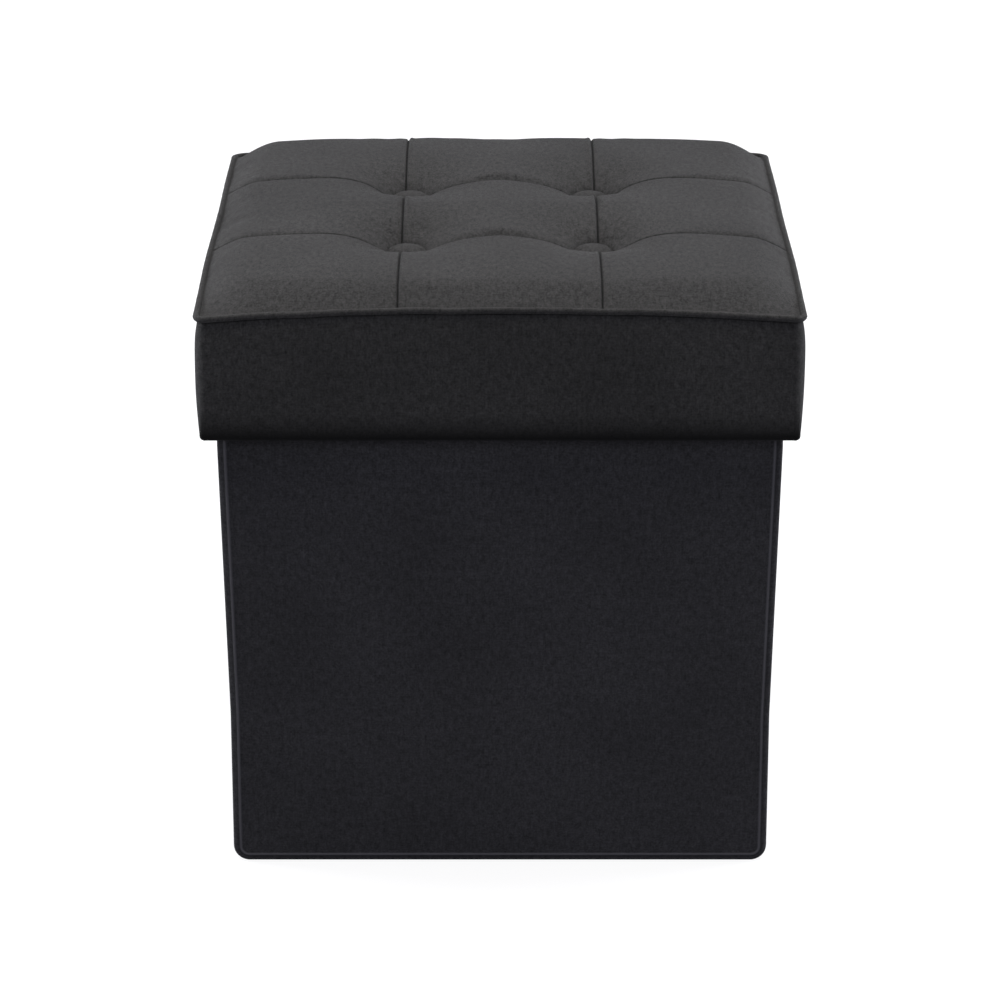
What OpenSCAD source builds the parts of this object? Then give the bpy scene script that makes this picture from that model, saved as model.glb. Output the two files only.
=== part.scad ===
// Storage ottoman: a folding fabric box with a lift-off, button-tufted lid.
// Millimetres. +Z is up, the front faces -Y, and the origin is the centre of
// the footprint on the ground. The box opens flat along soft vertical hinges:
// each side wall is two half panels that fold inwards at a middle crease.

/* [Box] */
// Outside width of the box, left to right
box_w = 354; // [300:1:440]
// Outside depth of the box, front to back
box_d = 354; // [300:1:440]
// Height of the box walls
wall_h = 334; // [260:1:420]
// Radius of the lower corners of the front and back walls
corner_r = 12; // [8:1:24]
// Radius of the box's upright corners
edge_r = 4; // [1:0.5:6]

/* [Wall layers] */
// Fibreboard core of a wall
board_t = 5; // [3:0.5:9]
// Padded outer fabric of a wall
cover_t = 2; // [1:0.5:3]
// Inner lining cloth
lining_t = 1; // [0.5:0.5:2]
// Soft corner between a wall's end and the next wall
corner_gap = 7; // [6:0.5:12]
// Height of the unstiffened hem under the side and back walls
hem_h = 7; // [6.9:0.1:12]
// Thickness of that hem
hem_t = 3; // [2:0.5:4]

/* [Floor] */
// Fibreboard core of the floor
floor_core_t = 3; // [2:0.5:4]
// Cloth wrapped round the floor core
floor_wrap_t = 0.5; // [0.3:0.1:0.8]
// Gap between the floor and a side wall
floor_side_gap = 3; // [2:0.5:6]
// Least gap between the floor and the back wall
floor_rear_gap = 10; // [6:1:20]
// Width of the pull ribbon
ribbon_w = 22; // [12:1:40]
// Length of the ribbon loop lying on the floor
ribbon_l = 46; // [30:1:80]

/* [Lid] */
// How far the lid's skirt hangs below the wall tops
skirt_overlap = 36; // [20:1:60]
// Running gap between the skirt and the box
lid_clear = 4; // [1.5:0.5:5]
// Thickness of the lid plate
plate_t = 6; // [4:0.5:12]
// Thickness of the skirt rails
rail_t = 6; // [4:0.5:9]
// Fabric of the band round the lid
band_t = 2.5; // [1:0.5:3]
// Foam thickness at the crown
foam_t = 57; // [46:1:76]
// Rise of the crown from the middle of an edge
crown_h = 6; // [4:1:14]
// Height of the sloping shoulder round the padded top
shoulder_h = 6; // [4:1:12]
// Rise of the piped edge from a corner to the middle of a side
arch_h = 6.5; // [3:0.5:10]
// Fabric over the foam
top_t = 1.7; // [1:0.1:3]
// Diameter of the welt round the top edge
welt_d = 3.5; // [3:0.5:8]
// How far the welt stands out past the band
welt_proud = 1; // [0.5:0.5:2]
// Radius of the lid's upright corners
lid_r = 9; // [6:1:20]

/* [Tufting] */
// Diameter of a covered button
button_d = 25; // [18:1:32]
// Height of a covered button
button_h = 7; // [5:0.5:9]
// Share of the lid's width between the button rows
button_pitch = 0.317; // [0.25:0.001:0.4]
// Depth of a button's top below the crown
tuft_depth = 13.5; // [8:0.5:22]
// Radius of a tuft where it meets the crown
tuft_r = 34; // [24:1:44]
// Diameter of the tufting twine
twine_d = 1.6; // [1:0.1:2.5]
// Diameter of the anchor disc under the plate
anchor_d = 18; // [12:1:26]

/* [Hidden] */
$fn = 48;
EPS = 1;                       // how far a cut runs past a face
fold_gap = 0.4;                // between the two halves of a side wall at the crease
body_gap = 0.3;                // between soft parts of two bodies that move apart
wall_t = board_t + cover_t + lining_t;

// Box levels and plan lines
in_x = box_w / 2 - wall_t;     // inner face of a side wall
in_y = box_d / 2 - wall_t;     // inner face of the front and back walls
half_l = in_y - corner_gap;    // from the crease to a corner hinge
soft_z = hem_h;                // underside of the side and back walls
hem_in = 1;                    // from the box's outside in to the hems

// Floor, from the ground up
sheet_z = 0.2;                 // underside of the floor cloth
sheet_t = 0.6;
tape_t = 0.5;
tape_z = sheet_z + sheet_t + 0.1;
floor_z = tape_z + tape_t + 0.1;
floor_t = floor_core_t + 2 * floor_wrap_t;
floor_top = floor_z + floor_t;
hinge_z = floor_z + floor_t / 2;
floor_front_gap = 2.4;         // between the standing floor and the front wall
hinge_y = -in_y + floor_t / 2 + floor_front_gap;
floor_front = 1;               // from the hinge line to the floor's front edge
floor_tip_gap = 1;             // under the lid, with the floor standing up
floor_reach = min(in_y - floor_rear_gap - hinge_y, wall_h - hinge_z - floor_tip_gap);
floor_w = 2 * (in_x - floor_side_gap);
tape_leg = 16;                 // height of the hinge tape up the front wall
tape_foot = 22;                // length of the hinge tape under the floor
tape_in = 10;                  // from the floor's side edges in to the tape's ends
ribbon_t = 0.45;

// Lid levels and plan lines
seat_gap = 0.3;                // between the wall tops and the lid lining
lining_z = wall_h + seat_gap;
plate_z = lining_z + lining_t;
plate_top = plate_z + plate_t;
skirt_z = wall_h - skirt_overlap;
return_t = 1;                  // the band's fabric where it turns up inside the skirt
return_h = 18;
crown_z = plate_top + foam_t + top_t;
lid_in_w = box_w + 2 * lid_clear;
lid_in_d = box_d + 2 * lid_clear;
rail_in_w = lid_in_w + 2 * (lining_t + return_t);
rail_in_d = lid_in_d + 2 * (lining_t + return_t);
rail_out_w = rail_in_w + 2 * rail_t;
rail_out_d = rail_in_d + 2 * rail_t;
band_w = rail_out_w + 2 * band_t;
band_d = rail_out_d + 2 * band_t;
welt_r = welt_d / 2;
welt_in = welt_r - welt_proud; // the welt's centre line lies this far inside the band's face
welt_joint = 0.05;             // the balls that join the welt's lengths are this much larger in radius
lid_half = max(band_w, band_d) / 2;
dome_r = (pow(lid_half, 2) + pow(crown_h, 2)) / (2 * crown_h);    // the crown is part of a ball
arch_r = (pow(lid_half, 2) + pow(arch_h, 2)) / (2 * arch_h);      // so is the piped edge's surface
crown_fn = 1440;               // segments of a full turn at such a large radius
shoulder_z = crown_z - crown_h - shoulder_h;
welt_drop = 1.5;               // from the shoulder down to the top of the welt
welt_top = shoulder_z - welt_drop - welt_r + arch_h;   // crown of the surface that the welt lies on
band_top = welt_top - welt_r;
pad_in = welt_in + welt_r + 0.1;     // the padded top starts inside the welt
pad_z = band_top - 2 * arch_h - 1;   // foot of the padded top, behind the band
skin_gap = 0.1;                // between the foam and its fabric

// Tufting
button_x = band_w * button_pitch / 2;
button_y = band_d * button_pitch / 2;
button_top = crown_z - tuft_depth;
button_z = button_top - button_h;
pit_r = button_d / 2 + 1;
shank_d = 3.2;
shank_h = 4;
twine_hole_d = 4;
anchor_t = 1.4;
knot_h = 1;
knot_d = 2.5 * twine_d;
dome_share = 0.6;              // share of a button's height that is domed
anchor_pocket = anchor_t + knot_h + 0.2;

// Fasteners
nail_d = 1.6;
nail_l = 22;
nail_head_d = 4;
nail_head_t = 0.8;
nail_count = 3;                // along each rail
nail_spread = 0.8;             // the outer nails, as a share of half the rail's length
staple_w = 10;
staple_wire = 0.6;
staple_leg = 4;
staple_count = 6;              // along each rail
staple_spread = 0.42;          // the outer staples, as a share of the rail's length from its middle
staple_rise = 0.6;             // height of the staples, as a share of the turned-in edge's

// ---- shared shapes ----

// A rectangle with four round corners, centred on the origin.
module round_rect(w, d, r) {
    square([w - 2 * r, d], center = true);
    square([w, d - 2 * r], center = true);
    for (x = [-1, 1], y = [-1, 1])
        translate([x * (w / 2 - r), y * (d / 2 - r)]) circle(r);
}

// A flat ring between two round rectangles, extruded from z0 to z1.
module ring(w, d, r, t, z0, z1) {
    translate([0, 0, z0]) linear_extrude(z1 - z0)
        difference() {
            round_rect(w, d, r);
            round_rect(w - 2 * t, d - 2 * t, max(r - t, 0.5));
        }
}

// Places a child made for the right rear quarter in any quarter of the plan.
module quarter(x, y) {
    mirror([x < 0 ? 1 : 0, 0, 0]) mirror([0, y < 0 ? 1 : 0, 0]) children();
}

// A block given by its two opposite corners.
module block(low, high) {
    translate(low) cube(high - low);
}

// ---- front and back walls ----

// Wall outline seen from the front: square at the top, round lower corners.
module wall_outline(inset) {
    r = corner_r - inset;
    w = box_w / 2 - inset;
    translate([-w, corner_r]) square([2 * w, wall_h - inset - corner_r]);
    translate([-w + r, inset]) square([2 * (w - r), corner_r - inset]);
    for (x = [-1, 1]) translate([x * (w - r), corner_r]) circle(r);
}

// A slab with that outline, y0 to y1 in from the wall's outer face, facing +Y.
module wall_slab(inset, y0, y1) {
    translate([0, box_d / 2 - y0, 0]) rotate([90, 0, 0])
        linear_extrude(y1 - y0) wall_outline(inset);
}

// Keeps what lies above the hem.
module above_hem(z0) {
    intersection() {
        children();
        block([-box_w, -box_d, z0], [box_w, box_d, wall_h + EPS]);
    }
}

// Fabric tray of a wall: outer face and rim, open towards the inside.
module wall_cover(z0) {
    color("#2f3033") difference() {
        above_hem(z0) intersection() {
            wall_slab(0, 0, wall_t);
            linear_extrude(wall_h) round_rect(box_w, box_d, edge_r);
        }
        above_hem(z0 == 0 ? 0 : z0 + cover_t) wall_slab(cover_t, cover_t, wall_t + EPS);
    }
}

module wall_board(z0) {
    color("#a9875c") above_hem(z0 == 0 ? 0 : z0 + cover_t)
        wall_slab(cover_t, cover_t, cover_t + board_t);
}

module wall_lining(z0) {
    color("#1c1c1e") above_hem(z0 == 0 ? 0 : z0 + cover_t)
        wall_slab(cover_t, cover_t + board_t, wall_t);
}

// Soft hem that hangs from the back wall down to the ground.
module back_hem() {
    x = box_w / 2 - corner_r;
    y = box_d / 2 - hem_in;
    color("#2f3033") block([-x, y - hem_t, 0], [x, y, hem_h - body_gap]);
}

// ---- side walls, modelled for the right rear quarter ----

module half_cover() {
    y0 = fold_gap / 2;
    color("#2f3033") difference() {
        block([in_x, y0, soft_z], [box_w / 2, half_l, wall_h]);
        block([in_x - EPS, y0 + cover_t, soft_z + cover_t],
              [box_w / 2 - cover_t, half_l - cover_t, wall_h - cover_t]);
    }
}

module half_layer(x0, x1) {
    block([x0, fold_gap / 2 + cover_t, soft_z + cover_t],
          [x1, half_l - cover_t, wall_h - cover_t]);
}

module half_board() {
    color("#a9875c") half_layer(in_x + lining_t, box_w / 2 - cover_t);
}

module half_lining() {
    color("#1c1c1e") half_layer(in_x, in_x + lining_t);
}

module half_hem() {
    x1 = box_w / 2 - hem_in;
    color("#2f3033") block([x1 - hem_t, fold_gap / 2, 0], [x1, half_l, hem_h - body_gap]);
}

// Fabric that turns the upright corner between two walls.
module gusset() {
    color("#2f3033") block([box_w / 2 - cover_t, half_l + body_gap, corner_r],
                           [box_w / 2, in_y, wall_h]);
}

// ---- floor ----

// The floor's block, shrunk by an inset on every face.
module floor_block(inset) {
    block([-floor_w / 2 + inset, hinge_y + floor_front + inset, floor_z + inset],
          [floor_w / 2 - inset, hinge_y + floor_reach - inset, floor_top - inset]);
}

module floor_board() {
    color("#a9875c") floor_block(floor_wrap_t);
}

module floor_wrap() {
    color("#1c1c1e") difference() {
        floor_block(0);
        floor_block(floor_wrap_t);
    }
}

// Pull ribbon: a flat loop that lies forwards from the floor's free edge, with
// its two layers apart only at the fold.
module floor_ribbon() {
    rear = hinge_y + floor_reach;
    x = ribbon_w / 2;
    color("#151516") {
        block([-x, rear - ribbon_l, floor_top], [x, rear + ribbon_t, floor_top + 2 * ribbon_t]);
        block([-x, rear, floor_z], [x, rear + ribbon_t, floor_top + ribbon_t]);
    }
}

// Cloth hinge from the front wall's lining to the underside of the floor.
module floor_hinge_tape() {
    x = floor_w / 2 - tape_in;
    color("#1c1c1e") {
        block([-x, -in_y, tape_z], [x, -in_y + tape_t, tape_z + tape_leg]);
        block([-x, -in_y, tape_z], [x, -in_y + tape_foot, tape_z + tape_t]);
    }
}

// Cloth bottom, sewn to the hems, that carries the floor when the box is lifted.
module floor_cloth() {
    x = box_w / 2 - hem_in - hem_t - body_gap;
    y = box_d / 2 - hem_in - hem_t - body_gap;
    color("#1c1c1e") block([-x, -in_y + body_gap, sheet_z], [x, y, sheet_z + sheet_t]);
}

// ---- lid ----

module at_buttons(x, y) {
    translate([x * button_x, y * button_y, 0]) children();
}

// Three nails along each rail, clear of the corners.
module at_nails() {
    x = (rail_out_w - rail_t) / 2;
    y = (rail_out_d - rail_t) / 2;
    for (i = [0 : nail_count - 1]) {
        s = nail_spread * (2 * i / (nail_count - 1) - 1);
        for (side = [-1, 1]) {
            translate([s * x, side * y, 0]) children();
            translate([side * x, s * y, 0]) children();
        }
    }
}

module lid_plate() {
    color("#a9875c") difference() {
        translate([0, 0, plate_z]) linear_extrude(plate_t)
            round_rect(rail_out_w, rail_out_d, lid_r - band_t);
        for (x = [-1, 1], y = [-1, 1]) at_buttons(x, y) {
            translate([0, 0, plate_z - EPS]) cylinder(h = plate_t + 2 * EPS, d = twine_hole_d);
            translate([0, 0, plate_z - EPS]) cylinder(h = anchor_pocket + EPS, d = anchor_d + 1);
        }
    }
}

// Front or back rail, the full width of the lid; drawn at the back.
module long_rail() {
    color("#a9875c") intersection() {
        block([-rail_out_w / 2, rail_in_d / 2, skirt_z + band_t],
              [rail_out_w / 2, rail_out_d / 2, plate_z]);
        linear_extrude(plate_z) round_rect(rail_out_w, rail_out_d, lid_r - band_t);
    }
}

// Side rail, between the front and back rails; drawn on the right.
module short_rail() {
    color("#a9875c") intersection() {
        block([rail_in_w / 2, -rail_in_d / 2, skirt_z + band_t],
              [rail_out_w / 2, rail_in_d / 2, plate_z]);
        linear_extrude(plate_z) round_rect(rail_out_w, rail_out_d, lid_r - band_t);
    }
}

module lid_nails() {
    color("silver") at_nails() {
        translate([0, 0, plate_top - nail_head_t]) cylinder(h = nail_head_t, d = nail_head_d);
        translate([0, 0, plate_top - nail_l]) cylinder(h = nail_l - nail_head_t, d = nail_d);
    }
}

// One staple driven outwards (+Y) from the origin, its crown against the fabric.
module staple() {
    block([-staple_w / 2, 0, 0], [staple_w / 2, staple_wire, staple_wire]);
    for (x = [-staple_w / 2, staple_w / 2 - staple_wire])
        block([x, 0, 0], [x + staple_wire, staple_leg, staple_wire]);
}

// Staples that hold the band's turned-in edge to the inside of the rails.
module lid_staples() {
    z = skirt_z + band_t + return_h * staple_rise;
    w = rail_in_w - 2 * return_t;
    d = rail_in_d - 2 * return_t;
    color("silver") for (i = [0 : staple_count - 1]) {
        s = staple_spread * (2 * i / (staple_count - 1) - 1);
        translate([s * w, d / 2, z]) staple();
        translate([-s * w, -d / 2, z]) rotate([0, 0, 180]) staple();
        translate([-w / 2, s * d, z]) rotate([0, 0, 90]) staple();
        translate([w / 2, -s * d, z]) rotate([0, 0, -90]) staple();
    }
}

// Everything under a large ball's top. The ball is swept about a level axis, so
// that its poles lie far from the lid.
module under_ball(r, top) {
    reach = 1.5 * lid_half;
    a = asin(reach / r);
    translate([0, 0, top - r]) rotate([0, 90, 0]) rotate([0, 0, 180 - a])
        rotate_extrude(angle = 2 * a, $fn = crown_fn) intersection() {
            circle(r, $fn = crown_fn);
            translate([0, -reach]) square([r + EPS, 2 * reach]);
        }
}

// The half space outside a 45 degree slope that starts at [x, z].
module outside_slope(x, z) {
    translate([x, 0, z]) rotate([0, 45, 0])
        translate([-2 * lid_half, -2 * lid_half, 0]) cube([4 * lid_half, 4 * lid_half, lid_half]);
}

// Crowned pad with a conical pit at each button: inset is from the fabric's
// outer face, and widens the pits by the same wall.
module pad(inset, z0) {
    w = band_w - 2 * (pad_in + inset);
    d = band_d - 2 * (pad_in + inset);
    slope_z = shoulder_z - inset * tan(22.5);
    difference() {
        intersection() {
            translate([0, 0, z0]) linear_extrude(crown_z - z0)
                round_rect(w, d, max(lid_r - pad_in - inset, 2));
            under_ball(dome_r - inset, crown_z - inset);
        }
        for (a = [0, 180]) {
            rotate([0, 0, a]) outside_slope(w / 2, slope_z);
            rotate([0, 0, a + 90]) outside_slope(d / 2, slope_z);
        }
        for (x = [-1, 1], y = [-1, 1]) at_buttons(x, y)
            translate([0, 0, button_z - inset])
                cylinder(h = tuft_depth + button_h + EPS, r1 = pit_r + inset, r2 = tuft_r + inset);
    }
}

// Foam block as wide as the plate, with the crowned pad on it.
module lid_foam() {
    color("#e8dfc8") difference() {
        union() {
            translate([0, 0, plate_top]) linear_extrude(pad_z - skin_gap - plate_top)
                round_rect(rail_out_w - 1, rail_out_d - 1, lid_r - band_t);
            pad(top_t + skin_gap, plate_top);
        }
        for (x = [-1, 1], y = [-1, 1]) at_buttons(x, y)
            translate([0, 0, plate_top - EPS]) cylinder(h = foam_t, d = twine_hole_d);
    }
}

module lid_top_cover() {
    color("#3a3b3e") difference() {
        pad(0, pad_z);
        pad(top_t, pad_z - EPS);
        for (x = [-1, 1], y = [-1, 1]) at_buttons(x, y)
            translate([0, 0, plate_top]) cylinder(h = foam_t, d = shank_d + 1);
    }
}

module lid_band() {
    color("#2f3033") {
        intersection() {
            ring(band_w, band_d, lid_r, band_t, skirt_z, crown_z);
            under_ball(arch_r, band_top);
        }
        ring(band_w, band_d, lid_r, band_t + rail_t + return_t, skirt_z, skirt_z + band_t);
        ring(rail_in_w, rail_in_d, 1.5, return_t, skirt_z, skirt_z + band_t + return_h);
    }
}

// One arched length of welt over +Y, from one corner's turn to the next.
module welt_arch(x, y, r) {
    bow_r = sqrt(pow(arch_r, 2) - pow(y, 2));
    a = asin((x - r) / bow_r);
    translate([0, y, welt_top - arch_r]) rotate([90, 0, 0]) rotate([0, 0, 90 - a])
        rotate_extrude(angle = 2 * a, $fn = crown_fn / 2)
            translate([bow_r, 0]) circle(welt_r);
}

// Piped edge: four arched lengths and four quarter turns of round cord.
module lid_welt() {
    x = band_w / 2 - welt_in;
    y = band_d / 2 - welt_in;
    r = lid_r - welt_in;
    z = welt_top - arch_r + sqrt(pow(arch_r, 2) - pow(x, 2) - pow(y - r, 2));
    color("#2a2b2d") {
        for (side = [0, 180]) {
            rotate([0, 0, side]) welt_arch(x, y, r);
            rotate([0, 0, side + 90]) welt_arch(y, x, r);
        }
        for (a = [0 : 90 : 270]) rotate([0, 0, a])
            translate([(a % 180 == 0 ? x : y) - r, (a % 180 == 0 ? y : x) - r, z]) {
                rotate_extrude(angle = 90) translate([r, 0]) circle(welt_r);
                translate([r, 0, 0]) sphere(welt_r + welt_joint);
                translate([0, r, 0]) sphere(welt_r + welt_joint);
            }
    }
}

module lid_lining() {
    color("#1c1c1e") {
        translate([0, 0, lining_z]) linear_extrude(lining_t)
            square([rail_in_w - 2 * return_t, rail_in_d - 2 * return_t], center = true);
        ring(rail_in_w - 2 * return_t, rail_in_d - 2 * return_t, 0.5, lining_t,
             skirt_z + band_t + return_h / 3, lining_z + lining_t);
    }
}

// Covered button: a flat-backed dome with a shank for the twine.
module tuft_button(x, y) {
    rise = button_h * dome_share;
    r = (pow(button_d / 2, 2) + pow(rise, 2)) / (2 * rise);
    color("#343538") at_buttons(x, y) translate([0, 0, button_z]) {
        cylinder(h = button_h - rise, d = button_d);
        intersection() {
            translate([0, 0, button_h - r]) sphere(r);
            cylinder(h = button_h, d = button_d);
        }
        translate([0, 0, -shank_h]) cylinder(h = shank_h + EPS, d = shank_d);
    }
}

// Twine from a button's shank to a knot under its anchor disc.
module tuft_twine(x, y) {
    knot_z = plate_z + anchor_pocket - anchor_t - knot_h;
    color("#4b4b4b") at_buttons(x, y) {
        translate([0, 0, knot_z]) cylinder(h = button_z - shank_h - knot_z, d = twine_d);
        translate([0, 0, knot_z]) cylinder(h = knot_h, d = knot_d);
    }
}

module tuft_anchor(x, y) {
    color("#d8d8d8") at_buttons(x, y)
        translate([0, 0, plate_z + anchor_pocket - anchor_t]) difference() {
            cylinder(h = anchor_t, d = anchor_d);
            translate([0, 0, -EPS]) cylinder(h = anchor_t + 2 * EPS, d = twine_d + 0.2);
        }
}

// ---- nodes ----

mirror([0, 1, 0]) wall_cover(0);  // front_cover
mirror([0, 1, 0]) wall_board(0);  // front_board
mirror([0, 1, 0]) wall_lining(0);  // front_lining
wall_cover(soft_z);  // back_cover
wall_board(soft_z);  // back_board
wall_lining(soft_z);  // back_lining
back_hem();

quarter(-1, -1) half_cover();  // left_front_cover
quarter(-1, -1) half_board();  // left_front_board
quarter(-1, -1) half_lining();  // left_front_lining
quarter(-1, -1) half_hem();  // left_front_hem
quarter(-1, 1) half_cover();  // left_rear_cover
quarter(-1, 1) half_board();  // left_rear_board
quarter(-1, 1) half_lining();  // left_rear_lining
quarter(-1, 1) half_hem();  // left_rear_hem
quarter(1, -1) half_cover();  // right_front_cover
quarter(1, -1) half_board();  // right_front_board
quarter(1, -1) half_lining();  // right_front_lining
quarter(1, -1) half_hem();  // right_front_hem
quarter(1, 1) half_cover();  // right_rear_cover
quarter(1, 1) half_board();  // right_rear_board
quarter(1, 1) half_lining();  // right_rear_lining
quarter(1, 1) half_hem();  // right_rear_hem

quarter(-1, -1) gusset();  // front_left_gusset
quarter(1, -1) gusset();  // front_right_gusset
quarter(-1, 1) gusset();  // back_left_gusset
quarter(1, 1) gusset();  // back_right_gusset

floor_board();
floor_wrap();
floor_ribbon();
floor_hinge_tape();
floor_cloth();

lid_plate();
mirror([0, 1, 0]) long_rail();  // lid_front_rail
long_rail();  // lid_back_rail
mirror([1, 0, 0]) short_rail();  // lid_left_rail
short_rail();  // lid_right_rail
lid_nails();
lid_staples();
lid_foam();
lid_top_cover();
lid_band();
lid_welt();
lid_lining();

tuft_button(-1, -1);  // tuft_button_front_left
tuft_button(1, -1);  // tuft_button_front_right
tuft_button(-1, 1);  // tuft_button_back_left
tuft_button(1, 1);  // tuft_button_back_right
tuft_twine(-1, -1);  // tuft_twine_front_left
tuft_twine(1, -1);  // tuft_twine_front_right
tuft_twine(-1, 1);  // tuft_twine_back_left
tuft_twine(1, 1);  // tuft_twine_back_right
tuft_anchor(-1, -1);  // tuft_anchor_front_left
tuft_anchor(1, -1);  // tuft_anchor_front_right
tuft_anchor(-1, 1);  // tuft_anchor_back_left
tuft_anchor(1, 1);  // tuft_anchor_back_right
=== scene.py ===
import math

import bmesh
import bpy
import numpy as np
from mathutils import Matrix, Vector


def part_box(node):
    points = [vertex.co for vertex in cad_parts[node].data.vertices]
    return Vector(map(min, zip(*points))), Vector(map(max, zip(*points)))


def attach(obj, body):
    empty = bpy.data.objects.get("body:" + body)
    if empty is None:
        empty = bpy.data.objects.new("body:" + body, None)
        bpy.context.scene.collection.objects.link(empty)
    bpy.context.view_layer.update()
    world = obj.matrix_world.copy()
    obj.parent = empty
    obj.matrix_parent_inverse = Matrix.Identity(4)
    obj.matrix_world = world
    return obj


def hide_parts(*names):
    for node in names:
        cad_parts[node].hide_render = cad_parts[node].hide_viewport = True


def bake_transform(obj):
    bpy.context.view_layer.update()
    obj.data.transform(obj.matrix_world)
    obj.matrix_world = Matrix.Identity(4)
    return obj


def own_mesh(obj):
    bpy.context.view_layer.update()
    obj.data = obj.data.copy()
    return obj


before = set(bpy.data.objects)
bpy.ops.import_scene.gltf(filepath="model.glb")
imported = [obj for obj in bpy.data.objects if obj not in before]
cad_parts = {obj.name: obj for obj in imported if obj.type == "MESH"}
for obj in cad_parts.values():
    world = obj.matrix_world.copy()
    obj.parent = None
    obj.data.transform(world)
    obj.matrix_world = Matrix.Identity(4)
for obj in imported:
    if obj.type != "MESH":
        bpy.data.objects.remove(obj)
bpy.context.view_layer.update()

MM = 0.001                               # everything is in metres; short lengths are said in MM


# ---------------------------------------------------------------- view and light

CAMERA_PLACE = (0.0, -2.697, 1.205)
CAMERA_PITCH = 20.67                     # degrees below level
CAMERA_LENS = 152.0                      # focal length on a sensor CAMERA_SENSOR wide, both in mm
CAMERA_SENSOR = 36.0
ROOM_FILL = (0.250, 0.258, 0.315, 1)     # light that the room sends to the ottoman
ROOM_SEEN = (0.98, 0.98, 0.98, 1)        # the room as the eye sees it
FLOOR_FILL = (0.18, 0.18, 0.19, 1)       # and the same pair for the floor's glow
FLOOR_SEEN = (0.86, 0.86, 0.86, 1)


def aim_camera():
    """Camera straight in front of the box, 2.7 m back and 1.2 m up, looking down at it."""
    camera = bpy.data.objects.new("camera", bpy.data.cameras.new("camera"))
    camera.data.sensor_width = CAMERA_SENSOR
    camera.data.lens = CAMERA_LENS
    camera.data.clip_end = 50.0
    camera.location = CAMERA_PLACE
    camera.rotation_euler = (math.radians(90.0 - CAMERA_PITCH), 0.0, 0.0)
    bpy.context.scene.collection.objects.link(camera)
    bpy.context.scene.camera = camera


def add_light(name, kind, place, target, energy, colour=(1, 1, 1), **settings):
    """One lamp at place, turned to face target."""
    lamp = bpy.data.lights.new(name, kind)
    lamp.energy = energy
    lamp.color = colour
    for key, value in settings.items():
        setattr(lamp, key, value)
    obj = bpy.data.objects.new(name, lamp)
    obj.location = place
    toward = np.array(target, float) - np.array(place, float)
    obj.rotation_euler = (
        math.atan2(math.hypot(toward[0], toward[1]), -toward[2]),
        0.0,
        math.atan2(toward[1], toward[0]) - math.pi / 2,
    )
    bpy.context.scene.collection.objects.link(obj)


def light_studio():
    """Broad light from overhead, a tall soft panel behind each side for the edges and a faint
    one in front."""
    add_light("overhead", "SUN", (0, 0, 3), (0, -0.40, 0), 4.25, (1.0, 0.975, 0.90),
              angle=math.radians(60))
    for side in (-1, 1):
        add_light("side_panel", "AREA", (side * 1.9, 0.5, 0.5), (0, 0, 0.25), 66.0,
                  (0.95, 0.97, 1.0), shape="RECTANGLE", size=0.7, size_y=1.6)
    add_light("front_panel", "AREA", (0, -3.0, 2.2), (0, 0, 0.2), 25.0, (0.90, 0.93, 1.0),
              shape="RECTANGLE", size=2.4, size_y=1.2)


def fill_room():
    """Pale room that looks brighter than the light it gives, shown without any tone curve."""
    world = bpy.data.worlds.new("room")
    world.use_nodes = True
    made = Nodes(world.node_tree)
    seen = made.add("ShaderNodeLightPath").outputs["Is Camera Ray"]
    fill = world.node_tree.nodes["Background"].inputs
    world.node_tree.links.new(made.mix(seen, ROOM_FILL, ROOM_SEEN), fill["Color"])
    fill["Strength"].default_value = 1.0
    bpy.context.scene.world = world
    bpy.context.scene.view_settings.view_transform = "Standard"
    bpy.context.scene.view_settings.look = "None"


# ---------------------------------------------------------------- shader groups

class Nodes:
    """Short calls for wiring a node tree: each returns the socket it makes."""

    def __init__(self, tree):
        self.tree = tree

    def add(self, kind, inputs=(), **settings):
        node = self.tree.nodes.new(kind)
        for key, value in settings.items():
            setattr(node, key, value)
        for key, value in dict(inputs).items():
            if isinstance(value, bpy.types.NodeSocket):
                self.tree.links.new(value, node.inputs[key])
            else:
                node.inputs[key].default_value = value
        return node

    def math(self, operation, a, b=0.0, c=0.5):
        return self.add("ShaderNodeMath", {0: a, 1: b, 2: c}, operation=operation).outputs[0]

    def vector(self, operation, a, b=(0, 0, 0), c=(0, 0, 0)):
        return self.add("ShaderNodeVectorMath", {0: a, 1: b, 2: c}, operation=operation).outputs[0]

    def toned(self, colour, gain):
        """colour with each of its three parts multiplied by gain."""
        parts = self.add("ShaderNodeCombineXYZ", {0: gain, 1: gain, 2: gain}).outputs[0]
        return self.vector("MULTIPLY", colour, parts)

    def noise(self, place, scale, detail=2.0, roughness=0.5):
        return self.add("ShaderNodeTexNoise", {"Vector": place, "Scale": scale, "Detail": detail,
                                               "Roughness": roughness}).outputs[0]

    def ramp(self, value, low, high, out_low=0.0, out_high=1.0):
        return self.add("ShaderNodeMapRange", {0: value, 1: low, 2: high, 3: out_low,
                                               4: out_high}).outputs[0]

    def mix(self, factor, a, b, blend="MIX"):
        node = self.tree.nodes.new("ShaderNodeMix")
        node.data_type = "RGBA"
        node.blend_type = blend
        for index, value in ((0, factor), (6, a), (7, b)):
            if isinstance(value, bpy.types.NodeSocket):
                self.tree.links.new(value, node.inputs[index])
            else:
                node.inputs[index].default_value = value
        return node.outputs[2]

    def attribute(self, name):
        return self.add("ShaderNodeAttribute", attribute_name=name).outputs["Fac"]

    def uv(self):
        return self.add("ShaderNodeUVMap", uv_map="UVMap").outputs[0]

    def place(self):
        return self.add("ShaderNodeTexCoord").outputs["Object"]


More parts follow.
